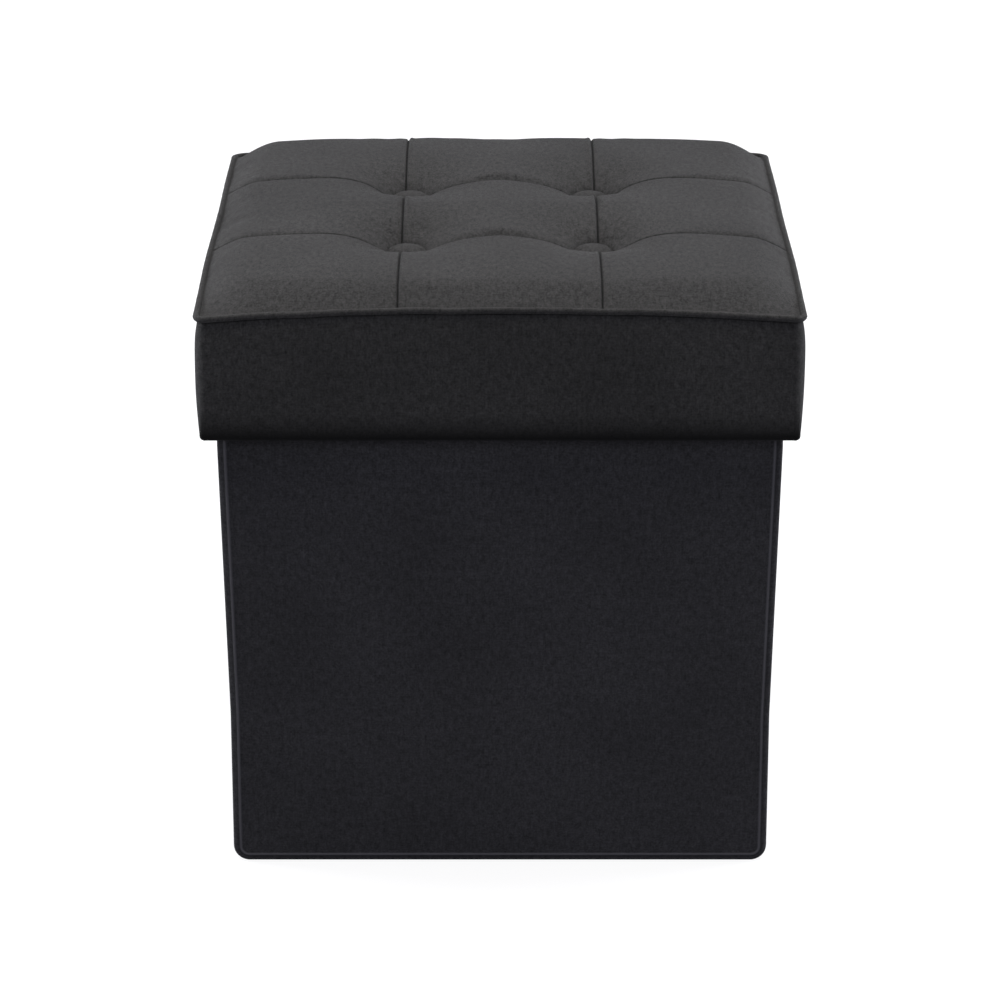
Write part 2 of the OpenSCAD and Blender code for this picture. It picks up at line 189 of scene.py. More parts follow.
def new_group(name, inputs, outputs):
    """An empty shader group with named sockets: (name, kind, default) and (name, kind)."""
    tree = bpy.data.node_groups.new(name, "ShaderNodeTree")
    for label, kind, default in inputs:
        socket = tree.interface.new_socket(label, in_out="INPUT", socket_type=kind)
        if default is not None:
            socket.default_value = default
    for label, kind in outputs:
        tree.interface.new_socket(label, in_out="OUTPUT", socket_type=kind)
    made = Nodes(tree)
    return made, made.add("NodeGroupInput").outputs, made.add("NodeGroupOutput").inputs


def yarn_group():
    """Plain weave: thin uneven yarns both ways, each passing over and under the other.

    Over and under is sin(pi u) sin(pi v) on yarn coordinates. Tone adds three noises: streaks
    along whichever yarn is on top, a heather a few yarns wide and slubs longer than that.
    Height is the rounded back of the yarn on top.
    """
    streak_share, heather_share, slub_share = 0.35, 0.4, 0.25
    made, given, out = new_group(
        "plain_weave",
        [("Place", "NodeSocketVector", None), ("Yarns", "NodeSocketFloat", 1900.0)],
        [("Tone", "NodeSocketFloat"), ("Height", "NodeSocketFloat")])
    scaled = made.add("ShaderNodeVectorMath", {0: given["Place"], "Scale": given["Yarns"]},
                      operation="SCALE").outputs[0]
    drift = made.noise(made.vector("MULTIPLY", scaled, (0.02, 0.02, 0.0)), 1.0, 1.0)
    split = made.add("ShaderNodeSeparateXYZ", {0: scaled}).outputs
    across = made.math("ADD", split[0], made.math("MULTIPLY", drift, 2.0))
    along = made.math("ADD", split[1], made.math("MULTIPLY", drift, 1.5))
    wave_x = made.math("SINE", made.math("MULTIPLY", across, math.pi))
    wave_y = made.math("SINE", made.math("MULTIPLY", along, math.pi))
    over = made.math("MULTIPLY_ADD", made.math("MULTIPLY", wave_x, wave_y), 0.5, 0.5)
    under = made.math("SUBTRACT", 1.0, over)
    warp = made.noise(made.vector("MULTIPLY", scaled, (0.9, 0.07, 0.0)), 1.0, 2.0, 0.6)
    weft_place = made.vector("MULTIPLY_ADD", scaled, (0.07, 0.9, 0.0), (17.0, 5.0, 3.0))
    weft = made.noise(weft_place, 1.0, 2.0, 0.6)
    streaks = made.math("ADD", made.math("MULTIPLY", warp, over), made.math("MULTIPLY", weft, under))
    heather = made.noise(made.vector("MULTIPLY", scaled, (0.36, 0.36, 0.0)), 1.0, 2.0, 0.6)
    slub = made.noise(made.vector("MULTIPLY", scaled, (0.17, 0.11, 0.0)), 1.0, 1.0, 0.5)
    tone = made.math("ADD", made.math("MULTIPLY", streaks, streak_share),
                     made.math("MULTIPLY", heather, heather_share))
    tone = made.math("ADD", tone, made.math("MULTIPLY", slub, slub_share))
    ridge_x = made.math("MULTIPLY", made.math("ABSOLUTE", wave_x), over)
    ridge_y = made.math("MULTIPLY", made.math("ABSOLUTE", wave_y), under)
    made.tree.links.new(tone, out["Tone"])
    made.tree.links.new(made.math("MAXIMUM", ridge_x, ridge_y), out["Height"])
    return made.tree


def lint_group():
    """Slow patches of lighter nap and a few specks of lint, for any cloth."""
    made, given, out = new_group(
        "nap_and_lint",
        [("Place", "NodeSocketVector", None), ("Colour", "NodeSocketColor", (0.03, 0.03, 0.03, 1)),
         ("Patches", "NodeSocketFloat", 0.2), ("Lint", "NodeSocketFloat", 0.3)],
        [("Colour", "NodeSocketColor")])
    cloud = made.ramp(made.noise(given["Place"], 14.0, 3.0), 0.3, 0.7, -1.0, 1.0)
    gain = made.math("ADD", 1.0, made.math("MULTIPLY", cloud, given["Patches"]))
    toned = made.toned(given["Colour"], gain)
    specks = made.add("ShaderNodeTexVoronoi", {"Vector": given["Place"], "Scale": 90.0},
                      feature="F1").outputs["Distance"]
    dots = made.ramp(specks, 0.035, 0.015)
    rare = made.ramp(made.noise(given["Place"], 23.0, 1.0), 0.62, 0.7)
    mask = made.math("MULTIPLY", made.math("MULTIPLY", dots, rare), given["Lint"])
    made.tree.links.new(made.mix(mask, toned, (0.16, 0.16, 0.165, 1.0)), out["Colour"])
    return made.tree


WEAVE = yarn_group()
LINT = lint_group()


# ---------------------------------------------------------------- materials

def new_material(name):
    """A material with its Principled shader, and the wiring helper for it."""
    material = bpy.data.materials.new(name)
    material.use_nodes = True
    tree = material.node_tree
    return material, Nodes(tree), tree.nodes["Principled BSDF"]


def feed(made, shader, colour, height, strength, distance, roughness):
    """Joins colour, roughness and a bump from height to the shader."""
    bump = made.add("ShaderNodeBump", {"Height": height, "Strength": strength, "Distance": distance})
    made.tree.links.new(bump.outputs[0], shader.inputs["Normal"])
    made.tree.links.new(colour, shader.inputs["Base Color"])
    made.tree.links.new(roughness, shader.inputs["Roughness"])


def times(colour, gain):
    """A colour of three parts multiplied by gain, as red, green, blue and alpha."""
    return (colour[0] * gain, colour[1] * gain, colour[2] * gain, 1.0)


SEAM_AND_SHADE_TONE = 0.25                        # colour of a seam and of painted shade, as a share of the dark yarn's
RIDGE_HIGHLIGHT_TONE = 1.8                         # and of a painted highlight on a sewn ridge's crest, as a share of the light yarn's


def woven_cloth(name, dark, light, yarns=1900.0, sheen=0.03, patches=0.12, lint=0.2):
    """Heathered linen-look cloth, darker in its seams and where shade is painted, and paler
    where a highlight is painted.

    The piece's two attributes, from 0 to 1, say where: one darkens the seams and paints shade
    under the lid's lower lip and under the buttons, and "edge" paints a highlight along the
    crest of a sewn ridge. yarns is the number of yarns in a metre.
    """
    material, made, shader = new_material(name)
    weave = made.add("ShaderNodeGroup", node_tree=WEAVE)
    made.tree.links.new(made.uv(), weave.inputs["Place"])
    weave.inputs["Yarns"].default_value = yarns
    tone = made.ramp(weave.outputs["Tone"], 0.36, 0.64)
    yarn = made.mix(tone, times(dark, 1.0), times(light, 1.0))
    lint_node = made.add("ShaderNodeGroup", {"Place": made.place(), "Colour": yarn,
                                             "Patches": patches, "Lint": lint}, node_tree=LINT)
    # Darker seams, and painted shade under the lid's lower lip and under the buttons
    seam_and_shade = made.mix(made.attribute("seam_and_shade"), lint_node.outputs[0], times(dark, SEAM_AND_SHADE_TONE))
    # Painted highlight along the crest of a sewn ridge
    highlighted = made.mix(made.attribute("edge"), seam_and_shade, times(light, RIDGE_HIGHLIGHT_TONE))
    fuzz = made.noise(made.place(), 900.0, 2.0)
    height = made.math("ADD", weave.outputs["Height"], made.math("MULTIPLY", fuzz, 0.5))
    roughness = made.ramp(fuzz, 0.3, 0.7, 0.86, 0.97)
    feed(made, shader, highlighted, height, 0.55, 0.00035, roughness)
    shader.inputs["Sheen Weight"].default_value = sheen
    shader.inputs["Sheen Roughness"].default_value = 0.45
    shader.inputs["Sheen Tint"].default_value = (0.9, 0.92, 1.0, 1.0)
    shader.inputs["Specular IOR Level"].default_value = 0.12
    return material


def bonded_cloth(name, colour):
    """Non-woven lining: flat fibres pressed with a fine grid of dimples."""
    material, made, shader = new_material(name)
    place = made.uv()
    dimples = made.add("ShaderNodeTexVoronoi", {"Vector": place, "Scale": 620.0, "Randomness": 0.15},
                       feature="F1").outputs["Distance"]
    fibres = made.noise(made.vector("MULTIPLY", place, (900.0, 260.0, 1.0)), 1.0, 3.0, 0.7)
    shade = made.ramp(fibres, 0.3, 0.7, 0.6, 1.5)
    tinted = made.toned(colour, shade)
    lint_node = made.add("ShaderNodeGroup", {"Place": made.place(), "Colour": tinted,
                                             "Patches": 0.15, "Lint": 0.5}, node_tree=LINT)
    height = made.math("ADD", made.ramp(dimples, 0.1, 0.45), made.math("MULTIPLY", fibres, 0.4))
    feed(made, shader, lint_node.outputs[0], height, 0.5, 0.0003, made.ramp(fibres, 0.2, 0.8, 0.6, 0.8))
    return material


def ribbed_ribbon(name, colour):
    """Grosgrain: fine ribs across the ribbon, |sin| of the distance along its length."""
    material, made, shader = new_material(name)
    rib_pitch = 0.9 * MM
    split = made.add("ShaderNodeSeparateXYZ", {0: made.uv()}).outputs
    rib = made.math("ABSOLUTE", made.math("SINE", made.math("MULTIPLY", split[1], math.pi / rib_pitch)))
    shade = made.ramp(rib, 0.0, 1.0, 0.55, 1.35)
    tinted = made.toned(colour, shade)
    feed(made, shader, tinted, rib, 0.6, 0.0003, made.ramp(rib, 0.0, 1.0, 0.7, 0.5))
    shader.inputs["Sheen Weight"].default_value = 0.2
    return material


def fibreboard(name):
    """Pressed fibre: pale brown with short dark fibres and dust."""
    material, made, shader = new_material(name)
    place = made.place()
    fibre = made.noise(made.vector("MULTIPLY", place, (1.0, 1.0, 0.35)), 900.0, 4.0, 0.75)
    cloud = made.noise(place, 30.0, 2.0)
    colour = made.mix(made.ramp(fibre, 0.35, 0.65), (0.22, 0.14, 0.075, 1), (0.46, 0.32, 0.18, 1))
    clouded = made.mix(made.ramp(cloud, 0.3, 0.7, 0.0, 0.3), colour, (0.3, 0.2, 0.11, 1))
    feed(made, shader, clouded, fibre, 0.3, 0.0003, made.ramp(fibre, 0.3, 0.7, 0.7, 0.9))
    return material


def drawn_wire(name):
    """Plain steel of nails, staples and discs: fine draw marks and a little dullness."""
    material, made, shader = new_material(name)
    marks = made.noise(made.vector("MULTIPLY", made.place(), (1.0, 1.0, 0.08)), 2600.0, 2.0)
    dull = made.noise(made.place(), 160.0, 3.0)
    colour = made.mix(made.ramp(dull, 0.4, 0.7), (0.56, 0.57, 0.58, 1), (0.36, 0.35, 0.34, 1))
    feed(made, shader, colour, marks, 0.2, 0.0001, made.ramp(dull, 0.3, 0.7, 0.25, 0.5))
    shader.inputs["Metallic"].default_value = 1.0
    return material


def waxed_twine(name):
    """Twisted tufting twine: slanting strands round a thin cord."""
    material, made, shader = new_material(name)
    split = made.add("ShaderNodeSeparateXYZ", {0: made.place()}).outputs
    slant = made.math("ADD", made.math("MULTIPLY", split[2], 5200.0),
                      made.math("MULTIPLY", made.math("ADD", split[0], split[1]), 2600.0))
    strand = made.math("ABSOLUTE", made.math("SINE", slant))
    colour = made.mix(strand, (0.10, 0.10, 0.095, 1), (0.34, 0.33, 0.3, 1))
    feed(made, shader, colour, strand, 0.6, 0.0003, made.ramp(strand, 0.0, 1.0, 0.8, 0.5))
    return material


def studio_floor(name):
    """Pale seamless floor with a barely uneven tone, lit from beneath as a light table is.
    Less of that glow reaches the ottoman than reaches the eye, so the lid's underside stays
    dark."""
    material, made, shader = new_material(name)
    cloud = made.noise(made.place(), 1.5, 2.0)
    colour = made.mix(cloud, (0.12, 0.12, 0.13, 1), (0.13, 0.13, 0.14, 1))
    feed(made, shader, colour, cloud, 0.02, 0.001, made.ramp(cloud, 0.3, 0.7, 0.8, 0.9))
    seen = made.add("ShaderNodeLightPath").outputs["Is Camera Ray"]
    made.tree.links.new(made.mix(seen, FLOOR_FILL, FLOOR_SEEN), shader.inputs["Emission Color"])
    shader.inputs["Emission Strength"].default_value = 1.0
    return material


BOX_CLOTH = woven_cloth("charcoal_box_cloth", (0.0120, 0.0118, 0.0128), (0.0410, 0.0400, 0.0445))
LID_CLOTH = woven_cloth("charcoal_lid_cloth", (0.0110, 0.0108, 0.0108), (0.0425, 0.0415, 0.0420))
LINING = bonded_cloth("black_lining", (0.016, 0.016, 0.018))
RIBBON = ribbed_ribbon("black_ribbon", (0.022, 0.022, 0.024))
BOARD = fibreboard("pressed_fibreboard")
STEEL = drawn_wire("bright_steel")
TWINE = waxed_twine("waxed_twine")


# ---------------------------------------------------------------- mesh makers

def add_piece(name, places, faces, uvs, materials, body=None, marks=None, slot=None, replaces=()):
    """A closed, smooth piece from arrays of places, faces and face-corner UVs."""
    mesh = bpy.data.meshes.new(name)
    mesh.from_pydata(np.asarray(places, float).reshape(-1, 3), [], faces)
    mesh.uv_layers.new(name="UVMap").data.foreach_set(
        "uv", np.asarray(uvs, np.float32).ravel())
    mesh.polygons.foreach_set("use_smooth", np.ones(len(mesh.polygons), bool))
    for key in ("seam_and_shade", "edge"):
        values = (marks or {}).get(key, np.zeros(len(mesh.vertices)))
        layer = mesh.attributes.new(key, "FLOAT", "POINT")
        layer.data.foreach_set("value", np.asarray(values, np.float32).ravel())
    for material in materials:
        mesh.materials.append(material)
    mesh.update()
    obj = bpy.data.objects.new(name, mesh)
    bpy.context.scene.collection.objects.link(obj)
    if body:
        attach(obj, body)
    if replaces:
        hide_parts(*replaces)
    return obj


def face_outwards(obj):
    """Turns every face of a closed piece to point out."""
    shape = bmesh.new()
    shape.from_mesh(obj.data)
    bmesh.ops.recalc_face_normals(shape, faces=shape.faces)
    shape.to_mesh(obj.data)
    shape.free()


def quads(rows, columns, wrap_rows=False, wrap_columns=False):
    """Corner numbers of the quads of a grid, as (vertex numbers, row and column numbers)."""
    i, j = np.meshgrid(np.arange(rows - (not wrap_rows)), np.arange(columns - (not wrap_columns)),
                       indexing="ij")
    di, dj = np.array([0, 1, 1, 0]), np.array([0, 0, 1, 1])
    row, column = i[..., None] + di, j[..., None] + dj
    corner = (row % rows) * columns + column % columns
    return corner.reshape(-1, 4), row.reshape(-1, 4), column.reshape(-1, 4)


def graded(half, spacing, peaks):
    """Places from -half to half whose density is 1/spacing plus a bell of 1/fine at each peak.

    peaks are (distance from the middle, width, fine spacing), mirrored to both sides.
    """
    fine = np.linspace(-half, half, 8001)
    density = np.full_like(fine, 1.0 / spacing)
    for at, width, step in peaks:
        density += np.exp(-((np.abs(fine) - at) / width) ** 2) / step
    total = np.concatenate([[0], np.cumsum((density[1:] + density[:-1]) / 2 * np.diff(fine))])
    count = int(round(total[-1])) // 2 * 2 + 1
    return np.interp(np.linspace(0, total[-1], count), total, fine)


def round_corners(x, y, half_x, half_y, low_r, high_r):
    """Moves the corners of a rectangle of points onto arcs: each corner square, of side r,
    is mapped to a quarter disc by x sqrt(1 - y^2 / 2), y sqrt(1 - x^2 / 2)."""
    r = np.where(y < 0, low_r, high_r)
    u = np.clip((np.abs(x) - (half_x - r)) / r, 0, None)
    v = np.clip((np.abs(y) - (half_y - r)) / r, 0, None)
    new_u = u * np.sqrt(1 - v ** 2 / 2)
    new_v = v * np.sqrt(1 - u ** 2 / 2)
    new_x = np.where(u > 0, np.sign(x) * (half_x - r + new_u * r), x)
    new_y = np.where(v > 0, np.sign(y) * (half_y - r + new_v * r), y)
    return new_x, new_y


def border_numbers(rows, columns):
    """Numbers of a grid's outer points, once round."""
    top = np.arange(columns)
    right = np.arange(1, rows) * columns + columns - 1
    bottom = (rows - 1) * columns + np.arange(columns - 2, -1, -1)
    left = np.arange(rows - 2, 0, -1) * columns
    return np.concatenate([top, right, bottom, left])


def loop_normals(points):
    """Outward unit normals of a closed flat loop of points."""
    along = np.roll(points, -1, axis=0) - np.roll(points, 1, axis=0)
    normal = np.stack([along[:, 1], -along[:, 0]], axis=1)
    normal /= np.linalg.norm(normal, axis=1)[:, None]
    middle = points.mean(axis=0)
    outward = np.sum(normal * (points - middle), axis=1).mean()
    return normal * np.sign(outward)


def soft_wave(x, y, seed, size):
    """Slow ripple of cloth: five sine waves of mixed directions, from -1 to 1."""
    rng = np.random.default_rng(seed)
    total = np.zeros(np.broadcast(x, y).shape)
    for _ in range(5):
        angle, phase = rng.uniform(0, math.tau, 2)
        stretch = rng.uniform(0.6, 1.6)
        total += np.sin((x * math.cos(angle) + y * math.sin(angle)) * math.tau * stretch / size + phase)
    return total / 5


def padded_board(name, a, b, rim, thickness, place, low_r, high_r, swell, materials, **piece):
    """Closed padded board from two grids and a rim carried round their border.

    a and b are grid lines of the flat part. The rim is a list of (out, down, seam, edge)
    from the outer face's border round to the inner face's border. place turns flat
    coordinates and height (a, b, c) into the frame; swell(a, b) raises the outer face.
    """
    flat_a, flat_b = np.meshgrid(a, b, indexing="ij")
    half_a, half_b = (a[-1] - a[0]) / 2, (b[-1] - b[0]) / 2
    mid_a, mid_b = (a[-1] + a[0]) / 2, (b[-1] + b[0]) / 2
    round_a, round_b = round_corners(flat_a - mid_a, flat_b - mid_b, half_a, half_b, low_r, high_r)
    flat_a, flat_b = round_a + mid_a, round_b + mid_b
    count = flat_a.size
    ring = border_numbers(*flat_a.shape)
    loop = np.stack([flat_a.ravel()[ring], flat_b.ravel()[ring]], axis=1)
    normal = loop_normals(loop)
    rim = np.array(rim, float)
    lift = swell(flat_a, flat_b)
    rim_a = loop[None, :, 0] + normal[None, :, 0] * rim[1:-1, 0, None]
    rim_b = loop[None, :, 1] + normal[None, :, 1] * rim[1:-1, 0, None]
    fade = np.clip(1 - rim[1:-1, 1, None] / -thickness * 2, 0, 1)
    rim_c = rim[1:-1, 1, None] + fade * swell(rim_a, rim_b)
    points = np.concatenate([
        np.stack([flat_a, flat_b, lift], axis=-1).reshape(-1, 3),
        np.stack([rim_a, rim_b, rim_c], axis=-1).reshape(-1, 3),
        np.stack([flat_a, flat_b, np.full_like(flat_a, -thickness)], axis=-1).reshape(-1, 3)])
    inner = count + rim_a.size
    outer_faces = quads(*flat_a.shape)[0]
    numbers = np.concatenate([ring[None], count + np.arange(rim_a.size).reshape(rim_a.shape),
                              inner + ring[None]])
    _, row, column = quads(*numbers.shape, wrap_columns=True)
    rim_faces = numbers[row, column % numbers.shape[1]]
    faces = np.concatenate([outer_faces, rim_faces, outer_faces + inner])
    step = np.linalg.norm(np.roll(loop, -1, axis=0) - loop, axis=1)
    run = np.concatenate([[0], np.cumsum(step)])
    drop = np.concatenate([[0], np.cumsum(np.hypot(*np.diff(rim[:, :2], axis=0).T))])
    flat_uv = np.stack([flat_a.ravel(), flat_b.ravel()], axis=-1)[outer_faces]
    rim_uv = np.stack([run[column], drop[row]], axis=-1)
    uvs = np.concatenate([flat_uv, rim_uv, flat_uv])
    marks = {key: np.concatenate([np.zeros(count), np.repeat(rim[1:-1, k], len(ring)), np.zeros(count)])
             for key, k in (("seam_and_shade", 2), ("edge", 3))}
    obj = add_piece(name, place(*points.T), faces, uvs, materials, marks=marks, **piece)
    if len(materials) > 1:
        kinds = np.zeros(len(faces), np.int32)
        kinds[len(outer_faces) + len(rim_faces):] = 1
        obj.data.polygons.foreach_set("material_index", kinds)
    face_outwards(obj)
    return obj


def square_path(half_x, half_y, radius, step):
    """A closed path round a rounded rectangle: places, outward normals and distances run.

    Each corner is a quarter circle; the straights lie between them.
    """
    turns = max(8, int(radius * math.pi / 2 / step * 2))
    places, normals = [], []
    for k in range(4):
        angle = np.linspace(0, math.pi / 2, turns) + k * math.pi / 2
        out = np.stack([np.cos(angle), np.sin(angle)], axis=1)
        sign = np.array([(1, -1, -1, 1)[k], (1, 1, -1, -1)[k]])
        centre = sign * (np.array([half_x, half_y]) - radius)
        places.append(centre + out * radius)
        normals.append(out)
        here = places[-1][-1]
        straight = 2 * ((half_x if k % 2 == 0 else half_y) - radius)
        count = int(straight / step)
        along = np.array([-out[-1][1], out[-1][0]])
        share = np.linspace(0, 1, count + 1)[1:-1, None]
        places.append(here + along * straight * share)
        normals.append(np.repeat(out[-1:], count - 1, axis=0))
    places, normals = np.concatenate(places), np.concatenate(normals)
    steps = np.linalg.norm(np.roll(places, -1, axis=0) - places, axis=1)
    return places, normals, np.concatenate([[0], np.cumsum(steps)])


def swept(name, path, profile, materials, marks=None, **piece):
    """Carries a closed profile round a closed path: a point lies at the path's own, plus out
    times its normal, at the height up. profile(x, y, run) gives (out, up), each with one row
    for each profile point and one column for each path point."""
    places, normals, run = path
    out, up = profile(places[:, 0], places[:, 1], run[:-1])
    points = np.stack([places[None, :, 0] + normals[None, :, 0] * out,
                       places[None, :, 1] + normals[None, :, 1] * out,
                       np.broadcast_to(up, out.shape)], axis=-1)
    faces, row, column = quads(*out.shape, wrap_rows=True, wrap_columns=True)
    middle = points[:, 0]
    ends = np.roll(middle, -1, axis=0) - middle
    drop = np.concatenate([[0], np.cumsum(np.linalg.norm(ends, axis=1))])
    uvs = np.stack([run[column], drop[row]], axis=-1)
    values = {key: np.broadcast_to(np.asarray(value), out.shape) for key, value in (marks or {}).items()}
    obj = add_piece(name, points, faces, uvs, materials, marks=values, **piece)
    face_outwards(obj)
    return obj


def capped_tube(name, points, side_uv, cap_uv, material, **piece):
    """A tube through rings of points, one row for each ring, with a flat cap on each end.

    side_uv(row, column) gives the UVs of the tube's face corners, and cap_uv those of the
    first cap and then the last.
    """
    rows, around = points.shape[:2]
    faces, row, column = quads(rows, around, wrap_columns=True)
    caps = [list(range(around)), list(range((rows - 1) * around, rows * around))]
    uvs = np.concatenate([side_uv(row, column).reshape(-1, 2), cap_uv])
    obj = add_piece(name, points, faces.tolist() + caps, uvs, [material], **piece)
    face_outwards(obj)
    return obj


def run_along(line):
    """Distance run at each point of a line, from 0 at its start."""
    return np.concatenate([[0], np.cumsum(np.linalg.norm(np.diff(line, axis=0), axis=1))])


# ---------------------------------------------------------------- sizes from the frame

def span(node):
    """Lowest and highest corners of a node at rest."""
    low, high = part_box(node)
    return np.array(low), np.array(high)


FRONT_LOW, FRONT_HIGH = span("front_cover")
SIDE_LOW = span("right_front_cover")[0]
BAND_LOW, BAND_HIGH = span("lid_band")
WELT_LOW, WELT_HIGH = span("lid_welt")
PAD_LOW, PAD_HIGH = span("lid_top_cover")
RAIL_HIGH = span("lid_right_rail")[1]
BUTTON_LOW, BUTTON_HIGH = span("tuft_button_back_right")
FLOOR_LOW, FLOOR_HIGH = span("floor_wrap")
WALL = FRONT_HIGH[1] - FRONT_LOW[1]
OUT = FRONT_HIGH[0]                      # half the box's width
IN = OUT - WALL                          # to a wall's inner face
TOP = FRONT_HIGH[2]                      # of every wall
HALF = -SIDE_LOW[1]                      # from the crease to a corner hinge
HEM = SIDE_LOW[2]                        # underside of the side and back walls
PANELS = ("left_front", "left_rear", "right_front", "right_rear")
QUARTERS = ("front_left", "front_right", "back_left", "back_right")

CROWN = PAD_HIGH[2]
BUTTON = (BUTTON_LOW[0] + BUTTON_HIGH[0]) / 2
BUTTON_R = (BUTTON_HIGH[0] - BUTTON_LOW[0]) / 2
BUTTON_TOP = BUTTON_HIGH[2]
SEAM = BUTTON + 3.5 * MM                 # the seams run just outside the buttons
WELT_CORD = 1.75 * MM                    # radius of the welt's node
WELT_R = 2.1 * MM                        # and of the piping that stands for it
WELT = WELT_HIGH[0] - WELT_CORD          # half the welt's path
WELT_SIDE = WELT_HIGH[2] - WELT_CORD     # its height at the middle of a side
WELT_CORNER = WELT_LOW[2] + WELT_CORD    # and at a corner
PAD = WELT - 1.9 * MM                    # half the padded top, which comes up to the piping
SHOULDER = CROWN - 7 * MM                # where the sloping edge of the top turns level


# ---------------------------------------------------------------- padded top

def welt_height(x, y):
    """Height of the piped edge: high at the middle of a side and lower at the corners,
    falling with the distance from the side's middle to the power 2.4. It also falls
    towards the rear, with the cube of y."""
    rear_fall = 3.3 * MM
    from_middle = np.minimum(np.abs(x), np.abs(y)) / WELT
    rear = rear_fall * np.clip(y / WELT, 0, 1) ** 3
    return WELT_SIDE - rear - (WELT_SIDE - WELT_CORNER) * from_middle ** 2.4


def drawn_in(x, y):
    """Draws the cloth of the lid's sides in towards the rear: up to 2.2 mm, by a smooth step
    in y and the fourth power of the distance from the middle."""
    most, start, length = 2.2 * MM, -110 * MM, 150 * MM
    t = np.clip((y - start) / length, 0, 1)
    step = t * t * (3 - 2 * t)
    return x - most * step * np.sign(x) * (np.abs(x) / WELT) ** 4


def level_off(inward, along, reach):
    """Rise of the pad's sloping edge from 0 at the piping to 1: 1 - (1 - d / D)^1.8, where D
    is the reach at the middle of a side and 25 mm more at a corner."""
    reach = reach + 25 * MM * np.clip(along / PAD, 0, 1) ** 4
    return 1 - np.clip(1 - inward / reach, 0, 1) ** 1.8


def bell(gap, width, power=2.0):
    """1 at no gap, falling as exp(-(|gap| / width)^power)."""
    return np.exp(-(np.abs(gap) / width) ** power)


def seam_depth(gap, base, peak, reach):
    """Depth of a seam at a gap from its button: a base, and a peak that falls as a bell of
    the gap over the reach. base and peak are in millimetres."""
    return (base + peak * bell(gap, reach)) * MM


def pad_surface(x, y):
    """The tufted surface: a crowned sheet less its seams and pits, times the rise of its edge.

    The crown is (1 - u^3.5) (1 - v^3.5), with u and v from 0 in the middle to 1 at the edge.

    A seam is a valley exp(-(s / w)^1.5) whose width w grows with its depth. The seams that
    run front to back slope only on their outer side, because the middle panels stand proud.
    A pit is a steep collar round the button plus a wide bell, with shallow pleats. Where
    seams and a pit meet, the drop is the cube root of the sum of their cubes.
    """
    u, v = np.abs(x), np.abs(y)
    crown = SHOULDER + (CROWN - SHOULDER) * (1 - (u / PAD) ** 3.5) * (1 - (v / PAD) ** 3.5)
    inner, outer = np.clip(BUTTON - u, 0, None), np.clip(u - BUTTON, 0, None)
    deep = np.where(u < BUTTON, seam_depth(inner, 6.5, 9.0, 17 * MM),
                    seam_depth(outer, 1.8, 17.0, 23 * MM))
    cross = deep * bell(v - SEAM, 2 * MM + 0.72 * deep, 1.5)
    between, beyond = np.clip(BUTTON - v, 0, None), np.clip(v - BUTTON, 0, None)
    deep = np.where(v < BUTTON, seam_depth(between, 2.5, 13.0, 20 * MM),
                    seam_depth(beyond, 0.6, 12.0, 15 * MM))
    gap = u - SEAM
    along = np.where(gap > 0, deep * bell(gap, 3 * MM + deep, 1.5),
                     deep * (0.8 * bell(gap, 1.3 * MM) + 0.2 * bell(gap, 8 * MM, 1.0)))
    radius = np.hypot(u - BUTTON, v - BUTTON)
    turn = np.arctan2(v - BUTTON, u - BUTTON)
    collar = np.clip(radius - BUTTON_R * 0.94, 0, None)
    pleat = 0.1 * MM
    pleats = pleat * np.cos(11 * turn + 2.0 * np.sign(x) + np.sign(y)) * bell(collar, 7 * MM, 1.0)
    wide = (26 + 2 * np.sin(turn) * (1 + np.cos(turn)) - 3 * np.cos(turn)) * MM
    pit = (3.5 * bell(collar, 1.6 * MM, 1.0) + 12.6 * bell(collar, wide, 1.3)) * MM
    drop = (cross ** 3 + along ** 3 + pit ** 3) ** (1 / 3) + pleats * (collar > 0)
    drop -= 0.55 * MM * bell(gap + 2.2 * MM, 1.4 * MM) * (v > 0)
    corner_share = np.where(y > 0, 0.9, 1)   # the rear corners level off sooner
    rise = level_off(PAD - u, v * corner_share, 24 * MM)
    rise *= level_off(PAD - v, u * corner_share, (25 - 5 * np.sign(y)) * MM)
    foot = welt_height(x, y) + 0.3 * MM      # close to the piping's middle
    return foot + (crown - drop - foot) * rise


SWELL_CAP = 1.1 * MM                     # most the filling lifts the cloth off its sewn shape
CLOTH_STEPS = 20                         # frames the cloth is run for
SMOOTHINGS = 5                           # times its movement is averaged with its neighbours
PAD_CLOTH = {
    "quality": 6, "mass": 0.25, "tension_stiffness": 12.0, "compression_stiffness": 6.0,
    "shear_stiffness": 3.0, "bending_stiffness": 0.25, "vertex_group_mass": "held",
    "shrink_min": -0.02, "use_pressure": True, "uniform_pressure_force": 3.0,
}


